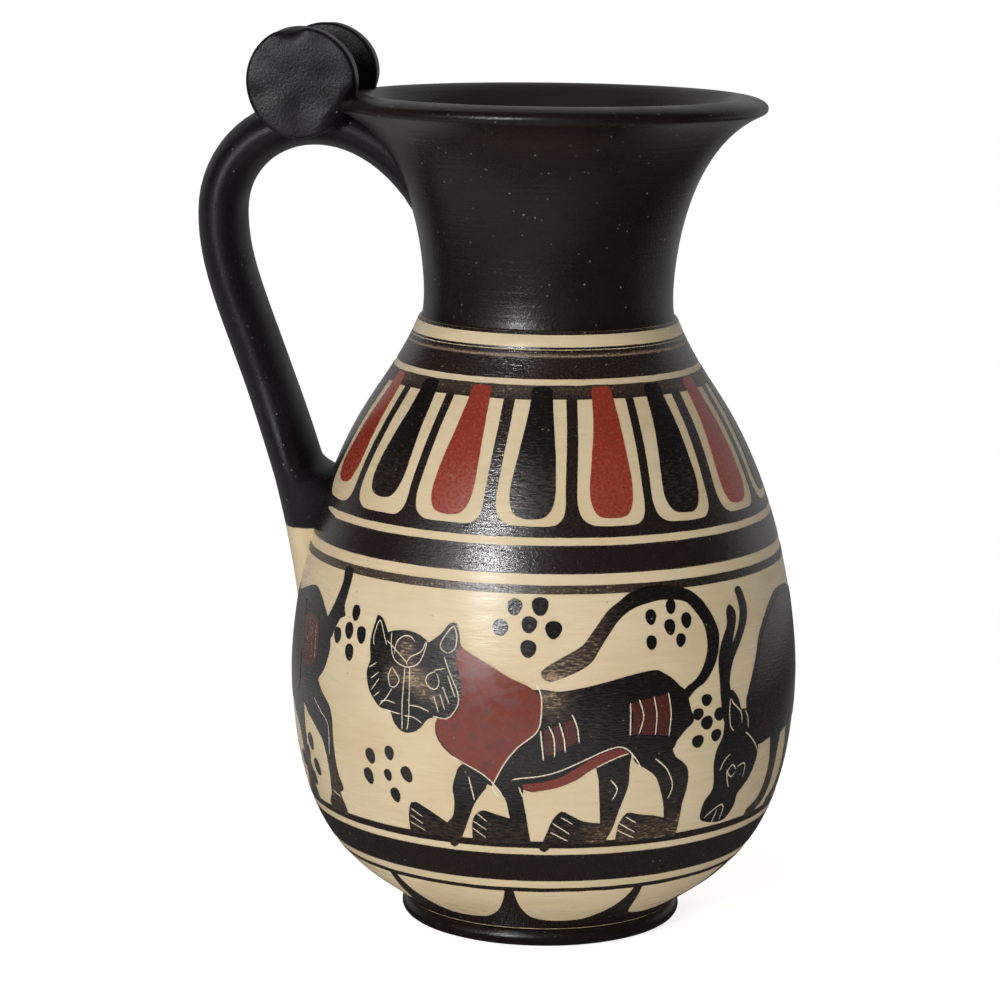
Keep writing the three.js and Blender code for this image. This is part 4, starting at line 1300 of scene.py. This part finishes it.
CAT_BODY = [(-6, 76), (4, 78.7), (10, 78.3), (16.7, 79.3), (23.3, 80.7), (29.3, 82), (36, 82.8),
            (38.7, 81.7), (41.3, 80), (43.3, 78), (44.7, 77), (45.7, 75), (46.7, 71.3), (47.7, 68.3),
            (45.3, 66.3), (42.7, 63.7), (41.3, 61.3), (37, 58.5), (32.5, 57.5), (30.5, 60), (28.7, 61.4),
            (26, 62), (22, 60.8), (16.7, 58), (10, 55), (5, 53.8), (0, 53.4), (-4, 53), (-8.7, 53),
            (-12, 58)]
CAT_TAIL = [(45, 77.1), (48.1, 78.9), (50.9, 81.8), (52.8, 86.1), (53, 89.6), (52.2, 93.3), (49.4, 97.1),
            (46.3, 99.6), (40, 100.5), (34.7, 100), (30, 98.7), (26, 96), (23.3, 92.7), (20.7, 89),
            (18.7, 86), (16, 84), (10.7, 81.7), (7.3, 80.8), (5.3, 82), (5.2, 83.3), (7.3, 85),
            (11.3, 87.3), (16, 90), (19.3, 94), (23.3, 98.7), (26.7, 101), (30, 103), (35.3, 104.3),
            (41.3, 104), (48.1, 102.4), (52.5, 99.3), (55.3, 95.5), (57.2, 91.4), (57.4, 88.6),
            (56.4, 84.6), (54.4, 81.1), (51.3, 78), (48.1, 76.4), (44, 73)]
CAT_LEGS = [
    [(-15.7, 57.7), (-17.3, 54.7), (-18.3, 51.3), (-18, 47.3), (-18.7, 43.3), (-20.7, 41), (-20.7, 41),
     (-25.3, 43.7), (-29.7, 45.7), (-31.3, 45.3), (-32.5, 42), (-33, 36.5), (-33, 36.5), (-21.4, 36.4),
     (-20.5, 34.6), (-19.3, 34.1), (-18.2, 34.8), (-17.4, 36.4), (-16.7, 37.3), (-15.7, 39.3), (-14, 43.3),
     (-12.3, 47.3), (-10, 50.7), (-8.7, 53), (-9, 60)],
    [(-6.7, 55.5), (-6.7, 52.7), (-4, 49.3), (-3.3, 46.7), (-2.7, 43.7), (-2.7, 43.7), (-6.7, 44.7),
     (-10, 45.5), (-12.3, 44), (-13.3, 41.3), (-13.5, 36.5), (-13.5, 36.5), (3, 36.5), (3, 36.5),
     (2.3, 40), (1.7, 44), (1, 48), (0.7, 50.7), (1.5, 57)],
    [(20, 63), (20, 57.7), (20.7, 54.7), (21.2, 49.3), (21.9, 42.3), (21.9, 42.3), (17.3, 43), (13.3, 45),
     (11, 45.9), (8.7, 43.3), (7.7, 40.7), (6.1, 36.8), (5.2, 35.6), (5.6, 34.5), (6.8, 34.1), (8, 34.9),
     (8.6, 36.4), (23.7, 36.5), (24.3, 38), (25.7, 41.3), (26.7, 45.3), (28, 49.3), (29, 52.7), (29, 57.3),
     (28.7, 63)],
    [(30.3, 61), (31, 58.4), (33.3, 57), (36.7, 54.3), (38.7, 50), (40, 46), (40.7, 42.3), (40.7, 42.3),
     (37.3, 43.3), (33.3, 44), (29.3, 44.8), (27.7, 42.7), (27, 40.7), (26.7, 36.5), (26.7, 36.5),
     (45.7, 36.5), (45.7, 36.5), (45.9, 41.3), (46, 46), (46.9, 50.7), (46.7, 54.7), (45.3, 57),
     (42.3, 59.3), (41.3, 61.3), (38, 66)],
]
CAT_BELLY_STRIP = [(0.8, 52.2), (3, 51.4), (5.3, 51.7), (10, 52.7), (14.7, 54.7), (18, 57), (20, 58),
                   (25.3, 60.3), (28.5, 61.2), (27.6, 62.3), (26, 62.8), (22, 61.9), (18, 60), (14.7, 57.9),
                   (10, 55.3), (5, 54), (0.8, 53.4)]
CAT_STRIPES = [
    [(6.4, 61.4), (8.7, 61.8), (8.5, 66), (7.2, 68.6), (6.0, 68.2)],
    [(9.3, 62.3), (11.4, 63), (11.1, 66), (10, 69.6), (8.6, 69)],
    [(12.1, 63.6), (14.6, 64.8), (14.4, 68.6), (13.2, 71), (11, 70.2)],
    [(29.2, 66.2), (31, 66.4), (32, 71), (31, 75), (29.2, 74.6)],
    [(32.2, 66.2), (35.6, 65.8), (35.9, 71), (35.2, 75.7), (31.9, 75.3)],
    [(36.6, 65.8), (39.6, 65.2), (40.1, 71), (39.3, 76.4), (36.1, 75.9)],
]

# Lines scratched through the cat's black: body and limbs
CAT_SCRATCHES = [
    [(4, 80), (5.3, 77), (5.3, 71), (4, 67.3), (-0.7, 63.3), (-4, 59), (-6, 55.3), (-7.3, 52), (-5.7, 49.7)],
    [(-18.7, 60), (-10, 55.7), (-6, 52), (-4.7, 50)],
    [(-2, 54.5), (0, 55), (5, 55.7), (10, 57), (16.7, 60), (22, 62.3), (26, 63.2), (28.7, 62), (31, 59.3),
     (32.2, 57.3)],
    [(20, 58), (25.3, 60.3), (28.7, 61.3)],
    [(5.2, 68), (6.1, 60)],
    [(7.3, 69.3), (8.7, 66), (9, 61)],
    [(10, 70.3), (11.3, 66), (11.7, 62.3)],
    [(13.3, 72.3), (14.7, 69), (15.3, 64.7)],
    [(28.9, 74.7), (28.9, 66)],
    [(31.3, 75.5), (32.5, 71), (31.3, 66.3)],
    [(35.5, 76), (36.3, 71), (36, 65.7)],
    [(39.7, 76.7), (40.5, 71), (40, 65)],
    [(36.3, 59.3), (40, 56), (42.1, 51.3), (41, 47.7)],
    [(24, 54.3), (26, 51.7), (24.7, 48.7)],
    [(-13.7, 54.7), (-12.3, 48.3)],
    [(-0.3, 52.7), (0.7, 50)],
]
CAT_CLAWS = [
    [(-31.7, 43.7), (-28, 41.7)], [(-32, 41.7), (-28.3, 39.7)], [(-32.5, 39.7), (-27.7, 37.7)],
    [(-11.9, 44.7), (-9, 42.3)], [(-13, 42.3), (-9.3, 40)], [(-13.3, 40.3), (-9.7, 37.7)],
    [(11, 44.3), (14.3, 42.3)], [(8.7, 42.7), (13.7, 39.3)], [(8.3, 40), (13.3, 37.3)],
    [(29, 43.7), (32.3, 41.7)], [(27.3, 42), (32.3, 39)], [(27, 40), (32.3, 37.3)],
]

# Lines scratched through the cat's black: ears, brow, eyes, nose, cheeks and whiskers
CAT_FACE = [
    [(-43.3, 86), (-43.9, 88), (-42.3, 92.7), (-40, 88.7), (-39, 86.7)],
    [(-39, 88), (-35.7, 85.7), (-32.3, 83.3), (-31.7, 82.3)],
    [(-26.7, 89), (-28, 86.3), (-31, 84.7), (-32.1, 83)],
    [(-37.7, 90.3), (-37.5, 86.7), (-36, 83.3), (-32.3, 81.9), (-28.7, 83), (-27, 86.3), (-26.3, 89.3)],
    [(-36.3, 84.7), (-35.7, 88), (-33.3, 89.9), (-31, 89.7), (-30, 88.7)],
    [(-32.5, 81.7), (-32.8, 73), (-32.8, 65.3)],
    [(-31, 82), (-30.7, 70.7), (-31.3, 65.3)],
    [(-36.7, 81.3), (-37.7, 79), (-37, 76.3), (-35.7, 76), (-34.1, 78), (-35.7, 80.3), (-36.7, 81.3)],
    [(-23.3, 81.7), (-25.3, 80.7), (-26, 79), (-24.7, 77.3), (-22.7, 77.3), (-22.1, 79.3), (-23, 81.3)],
    [(-23.7, 82), (-20.7, 82.8)],
    [(-42, 81.7), (-44.7, 80)],
    [(-41, 79.3), (-43.7, 77.3)],
    [(-40.7, 77.7), (-43.3, 74.3)],
    [(-40.3, 74.3), (-42.3, 72.7)],
    [(-36.3, 75.7), (-38, 73), (-40.3, 70.7)],
    [(-40, 71.7), (-37.7, 72.3), (-35, 71.9)],
    [(-30.7, 72), (-28, 72), (-24.7, 71)],
    [(-38, 69.7), (-33.3, 69.3)],
    [(-32.3, 69), (-29.3, 69), (-26.7, 67.7)],
    [(-23.5, 75.3), (-22, 71.3)],
    [(-21.7, 76), (-20.2, 72)],
    [(-21, 78), (-19, 73.7)],
    [(-19.7, 81), (-17.5, 75.7)],
    [(-20.2, 86.8), (-22.2, 87.8), (-22.1, 89.6), (-20.6, 92), (-18.9, 93.8), (-17.8, 91), (-18.2, 88),
     (-20, 86.8)],
    [(-21, 85.7), (-19, 81.3), (-17, 77.3), (-16.5, 74), (-18.7, 70.3), (-20.7, 69.6), (-23.6, 70)],
]

# Grazing goat: head and neck, two horns, body, tail and four legs
GOAT_HEAD = [(53.4, 40.5), (53.8, 44.9), (55.9, 47.4), (56.4, 49.9), (55.6, 54.9), (56.3, 59.3),
             (58.1, 62.4), (58.8, 68), (60.4, 74.6), (61.6, 74.6), (63.8, 71.8), (65.3, 68.6),
             (67.5, 68.6), (70, 64), (74, 58), (74.4, 55.5), (74.1, 53.6), (72.5, 49.9), (70, 47.1),
             (67.2, 44.9), (66.9, 41.8), (64.4, 38.6), (61.6, 38), (58.8, 38.3), (55.9, 38.9)]
GOAT_HORNS = [(58.8, 66), (57.2, 71.1), (56.8, 76.8), (56.6, 83), (58.1, 87.4), (60.9, 91.8), (61.3, 95.5),
              (62.8, 96.9), (64.7, 95.2), (64.7, 92.4), (63.1, 88.6), (62.2, 86.4), (62.2, 86.4),
              (65, 89.9), (66.9, 94.3), (66.6, 98), (65.9, 100.2), (67.5, 101.1), (69.1, 99.9),
              (70.3, 95.5), (69.4, 91.8), (66.3, 87.4), (63.1, 83.6), (61.6, 81.1), (60.6, 78),
              (60.5, 75.5), (62, 70)]
GOAT_BODY = [(67.2, 69.9), (68.1, 73), (70.6, 78), (72.5, 81.8), (74.4, 86.1), (77.5, 89.9), (81.3, 93),
             (85, 95.2), (90, 96.8), (100, 96.4), (112, 93.4), (124, 92), (133, 94.2), (142, 96.4),
             (146.5, 95.2), (150.3, 92.6), (154, 89), (156.5, 83), (155.3, 78), (153.4, 74.9),
             (151.2, 72.4), (149, 66), (143.4, 63.2), (138.4, 64.9), (125, 62), (110, 59.5), (95, 58.5),
             (88, 57.5), (80.6, 58), (76.3, 57.4), (73, 58), (69, 63)]
GOAT_TAIL = [(153, 89), (156, 94), (158.4, 99.9), (158.4, 104), (162, 104), (162, 99.9), (161, 94.3),
             (162, 91.6), (160, 90.8), (157.8, 87.4), (156.2, 84.6), (152, 84)]
GOAT_HIND_LEG = [(151.2, 72.4), (152.8, 70.5), (155.9, 68), (157.8, 66.1), (158.7, 63), (158.7, 58),
                 (159, 51.8), (159.6, 48), (161, 44.3), (160, 43.3), (158.7, 43), (159.3, 41.1),
                 (160, 38.6), (160, 36.5), (160, 36.5), (151, 36.5), (151, 36.5), (151.2, 38.9),
                 (153.1, 40.8), (154, 43), (154.8, 46.8), (154.8, 50.5), (153.7, 54.9), (151.8, 57.4),
                 (147.8, 60.2), (143.4, 62.7), (140, 68), (146, 74)]
GOAT_FORELEG = [(81.6, 62), (81.6, 57), (83, 50.8), (82.5, 45.5), (80.1, 41.1), (74.9, 38.6), (74.6, 37.2),
                (74.6, 36.5), (80.6, 36.5), (81.2, 37.8), (84.8, 39.5), (87.1, 43.2), (87.7, 48.1),
                (88.2, 54), (89, 61)]
GOAT_FORELEG_STEP = 13.5
GOAT_HIND_LEG_STEP = -18.0
GOAT_COAT = [(69.8, 69), (72.2, 77), (76, 86), (82.5, 91.8), (91, 94.8), (104, 93.6), (118, 90.8),
             (130, 91.6), (137, 91), (138, 84), (138, 74), (136, 67), (124, 64), (108, 61.5), (92, 60.5),
             (80, 60.5), (75, 60.5), (71.5, 64)]
GOAT_HAUNCH = [(140, 75.5), (149.3, 77.3), (148.4, 88.2), (137.4, 86.6)]
GOAT_SCRATCHES = [
    [(60.6, 72.4), (60.3, 69.3), (60.9, 64.9), (62.4, 63.3)],
    [(60.8, 72.4), (61.6, 71.1), (65, 68), (65.6, 64.9)],
    [(66.9, 68.3), (68.1, 66.1), (68.6, 63)],
    [(67.5, 62.1), (70.6, 59.9), (73.1, 57.4), (74.4, 55.5)],
    [(60.9, 53), (61.6, 49.9), (62.6, 47.7)],
    [(65, 53), (68.1, 53.5), (68.8, 51.8), (68.4, 49.3)],
    [(61.6, 57.1), (59.4, 55.5), (58.1, 53)],
    [(55, 40.2), (58.8, 42.4), (61.3, 43.1), (62.2, 42.1), (61.6, 38.3)],
    [(59.7, 41.8), (58.4, 37.8)],
    [(64.85, 52.2), (63.1, 53.95), (61.35, 52.2), (63.1, 50.45), (64.7, 51.7)],
    [(148.7, 67.1), (152.8, 64.3), (156.5, 61.1), (156.2, 53)],
    [(154.4, 42.7), (158.7, 41.4)],
    [(138.4, 86.6), (140.9, 76)],
    [(141.4, 87), (143.2, 76.4)],
    [(144.4, 87.4), (146, 76.8)],
    [(147.2, 87.8), (148.4, 77.4)],
]
SCRATCH_WIDTH = 0.38
FINE_SCRATCH_WIDTH = 0.32
GOAT_SCRATCH_WIDTH = 0.42
SCRATCH_FLOOR_LIFT = 0.07
SCRATCH_FLOOR_SHARE = 1.25
FIGURE_WOBBLE = 0.2
CAT_SEED = 41
GOAT_SEED = 43

# Dots in loose rosettes between the animals: half width, half height, lean to the left, places
ROSETTES = [
    (2.1, 2.2, -0.2, [(-2.3, 99.7), (4.7, 100), (1.8, 95.3), (8.3, 94.1), (-6, 94.3), (1.7, 89.2)]),
    (1.6, 2.0, 0.0, [(35.5, 96.5), (41.9, 98.7), (41.1, 93.5), (46.5, 94.8), (35.3, 90), (44.3, 89.9)]),
    (1.65, 2.2, 0.35, [(-44, 56.3), (-37.3, 58.2), (-31.9, 53.1), (-45.2, 50.5), (-36.2, 46.7)]),
    (1.3, 1.7, 0.35, [(-38.2, 52)]),
    (1.7, 2.3, 0.1, [(-53.8, 88.3), (-51.8, 93.3), (-48.7, 88), (-58.8, 86.3), (-52.8, 82.7)]),
    (1.9, 1.75, 0.0, [(51.9, 73.3), (49.1, 69.8), (52.2, 67.1), (56.6, 68.9), (49.3, 62.5), (55.6, 63.3)]),
    (1.65, 2.3, 0.3, [(-73.8, 54.1), (-77.3, 50.2), (-71.4, 47.4), (-75.5, 43.4), (-81.1, 54.9),
                      (-83.6, 47.2)]),
]

# A dab of the brush: a few-sided round, hardly swollen, with a chance lean and size at each place
DAB_SIDES = 14
DAB_SWELL = 0.05
DAB_SPREAD = 0.2
DAB_SEED = 5


def near(x, y, spot, reach):
    """One at a spot, falling away to nothing over the reach."""
    return max(0.0, 1 - math.hypot(x - spot[0], y - spot[1]) / reach)


# Brush-dry places of the cat: middle, reach and how bare
CAT_DRY_SPOTS = [
    ((-32.5, 86.4), 5.4, 1.1), ((-36.8, 79.3), 4.6, 0.9), ((-31.0, 79.6), 5.0, 0.9),
    ((-27.5, 79.0), 5.4, 1.0), ((-27.0, 75.0), 3.8, 0.6), ((-22.8, 74.6), 3.2, 1.0),
    ((8.0, 76.0), 8.5, 0.9), ((20.0, 70.0), 11.0, 0.2),
]

# How thin the figures are, with each dry stretch given from where it starts to where it is full
CAT_THIN = 0.12
CAT_TAIL_THIN = 0.65
CAT_TAIL_ACROSS = (34, 14)
CAT_TAIL_UP = (79.5, 81.5)
CAT_TAIL_TIP = (2, 6)
CAT_PAWS_THIN = 0.35
CAT_PAWS_DOWN = (46, 40)
CAT_HIND_LEGS_THIN = 0.25
CAT_HIND_LEGS_DOWN = (60, 54)
CAT_HIND_LEGS_ACROSS = (15, 20)
CAT_RED_THIN = 0.25
CAT_STRIPES_THIN = 0.35
GOAT_THIN = 0.1
GOAT_LEGS_THIN = 0.5
GOAT_LEGS_DOWN = (57, 48)
GOAT_LEGS_ACROSS = (72, 76)
GOAT_COAT_THIN = 0.2
GOAT_HAUNCH_THIN = 0.3


def cat_wear(x, y):
    """How thin the cat's black is: dry spots, the tail's end, the hind legs and the paws."""
    spots = sum(bare * near(x, y, spot, reach) for spot, reach, bare in CAT_DRY_SPOTS)
    tail = CAT_TAIL_THIN * eased(x, *CAT_TAIL_ACROSS) * eased(y, *CAT_TAIL_UP) * eased(x, *CAT_TAIL_TIP)
    paws = CAT_PAWS_THIN * eased(y, *CAT_PAWS_DOWN)
    legs = CAT_HIND_LEGS_THIN * eased(y, *CAT_HIND_LEGS_DOWN) * eased(x, *CAT_HIND_LEGS_ACROSS)
    return min(CAT_THIN + spots + tail + paws + legs, 1.0)


def goat_wear(x, y):
    """The goat's black thins down the legs."""
    return GOAT_THIN + GOAT_LEGS_THIN * eased(y, *GOAT_LEGS_DOWN) * eased(x, *GOAT_LEGS_ACROSS)


def lay_figure(name, flat, material, slot, seed):
    """Lays a figure of the frieze twice, half a turn apart. What belongs together shares its seed."""
    lay_slip(name, flat, material, slot, 2, HALF_ROUND, wobble=FIGURE_WOBBLE, seed=seed)


def scratch_floor(name, lines, seed):
    """The pale clay at the bottom of the scratched lines, a little wider than the cuts over it."""
    beds = [scratch(line, width * SCRATCH_FLOOR_SHARE) for line, width in lines]
    flat = cut_flat(name, beds, (), SCRATCH_FLOOR_LIFT)
    lay_figure(name, flat, SCRATCHED, "cream_clay", seed)


def make_cat():
    shapes = [curved(loop) for loop in (CAT_HEAD, CAT_NECK, CAT_BODY, CAT_TAIL, *CAT_LEGS)]
    drawn = [(line, SCRATCH_WIDTH) for line in CAT_SCRATCHES]
    drawn += [(line, FINE_SCRATCH_WIDTH) for line in CAT_FACE + CAT_CLAWS]
    lines = [scratch(line, width) for line, width in drawn]
    scratch_floor("frieze_cats_scratches", drawn, CAT_SEED)
    flat = cut_flat("cat", shapes, lines, FIGURE_LIFT, cat_wear)
    lay_figure("frieze_cats", flat, FIGURE_BLACK, "black_slip", CAT_SEED)
    patches = [curved(placed(CAT_NECK, 0.25, 0.3)), curved(CAT_BELLY_STRIP)]
    flat = cut_flat("cat_red", patches, [curved(CAT_HEAD), *lines], RED_LIFT, lambda x, y: CAT_RED_THIN)
    lay_figure("frieze_cats_red", flat, CHEST_RED, "red_slip", CAT_SEED)
    stripes = [np.array(loop) for loop in CAT_STRIPES]
    flat = cut_flat("cat_stripes", stripes, lines, RED_LIFT, lambda x, y: CAT_STRIPES_THIN)
    lay_figure("frieze_cats_stripes", flat, DULL_RED, "red_slip", CAT_SEED)


def make_goat():
    legs = [GOAT_FORELEG, placed(GOAT_FORELEG, GOAT_FORELEG_STEP), GOAT_HIND_LEG,
            placed(GOAT_HIND_LEG, GOAT_HIND_LEG_STEP)]
    shapes = [curved(loop) for loop in (GOAT_HEAD, GOAT_HORNS, GOAT_BODY, GOAT_TAIL, *legs)]
    drawn = [(line, GOAT_SCRATCH_WIDTH) for line in GOAT_SCRATCHES]
    lines = [scratch(line, width) for line, width in drawn]
    scratch_floor("frieze_goats_scratches", drawn, GOAT_SEED)
    flat = cut_flat("goat", shapes, lines, FIGURE_LIFT, goat_wear)
    lay_figure("frieze_goats", flat, FIGURE_BLACK, "black_slip", GOAT_SEED)
    flat = cut_flat("goat_coat", [curved(GOAT_COAT)], (), RED_LIFT, lambda x, y: GOAT_COAT_THIN)
    lay_figure("frieze_goats_coat", flat, WINE, "red_slip", GOAT_SEED)
    flat = cut_flat("goat_haunch", [curved(GOAT_HAUNCH)], lines, RED_LIFT, lambda x, y: GOAT_HAUNCH_THIN)
    lay_figure("frieze_goats_haunch", flat, DULL_RED, "red_slip", GOAT_SEED)


def make_dots():
    turns = np.linspace(0, math.tau, DAB_SIDES + 1)[:-1]
    swell = [1 + DAB_SWELL * math.sin(3 * a) for a in turns]
    dab_mesh = cut_flat("dab", [np.array([(r * math.cos(a), r * math.sin(a)) for r, a in zip(swell, turns)])])
    dab = bpy.data.objects.new("dab", dab_mesh)
    scene.collection.objects.link(dab)
    dots = [(spot, wide, tall, lean) for wide, tall, lean, places in ROSETTES for spot in places]
    spots = bpy.data.meshes.new("dot_spots")
    spots.from_pydata([(x * MM, y * MM, 0) for (x, y), *_ in dots], [], [])
    halves = spots.attributes.new("half", "FLOAT_VECTOR", "POINT")
    halves.data.foreach_set("vector", [part for _, wide, tall, _ in dots for part in (wide, tall, 1)])
    leans = spots.attributes.new("lean", "FLOAT", "POINT")
    leans.data.foreach_set("value", [lean for *_, lean in dots])
    dabs = grown("dots_flat", spots, DABBING, {
        "Dab": dab, "Spread": DAB_SPREAD, "Seed": DAB_SEED, "Material": FIGURE_BLACK})
    flat = dabs.data
    bpy.data.objects.remove(dabs)
    bpy.data.objects.remove(dab)
    lay_slip("frieze_dots", flat, FIGURE_BLACK, "black_slip", 2, HALF_ROUND,
             wobble=0.6, wobble_scale=300, seed=51)


make_bands()
make_comb()
make_base()
make_cat()
make_goat()
make_dots()
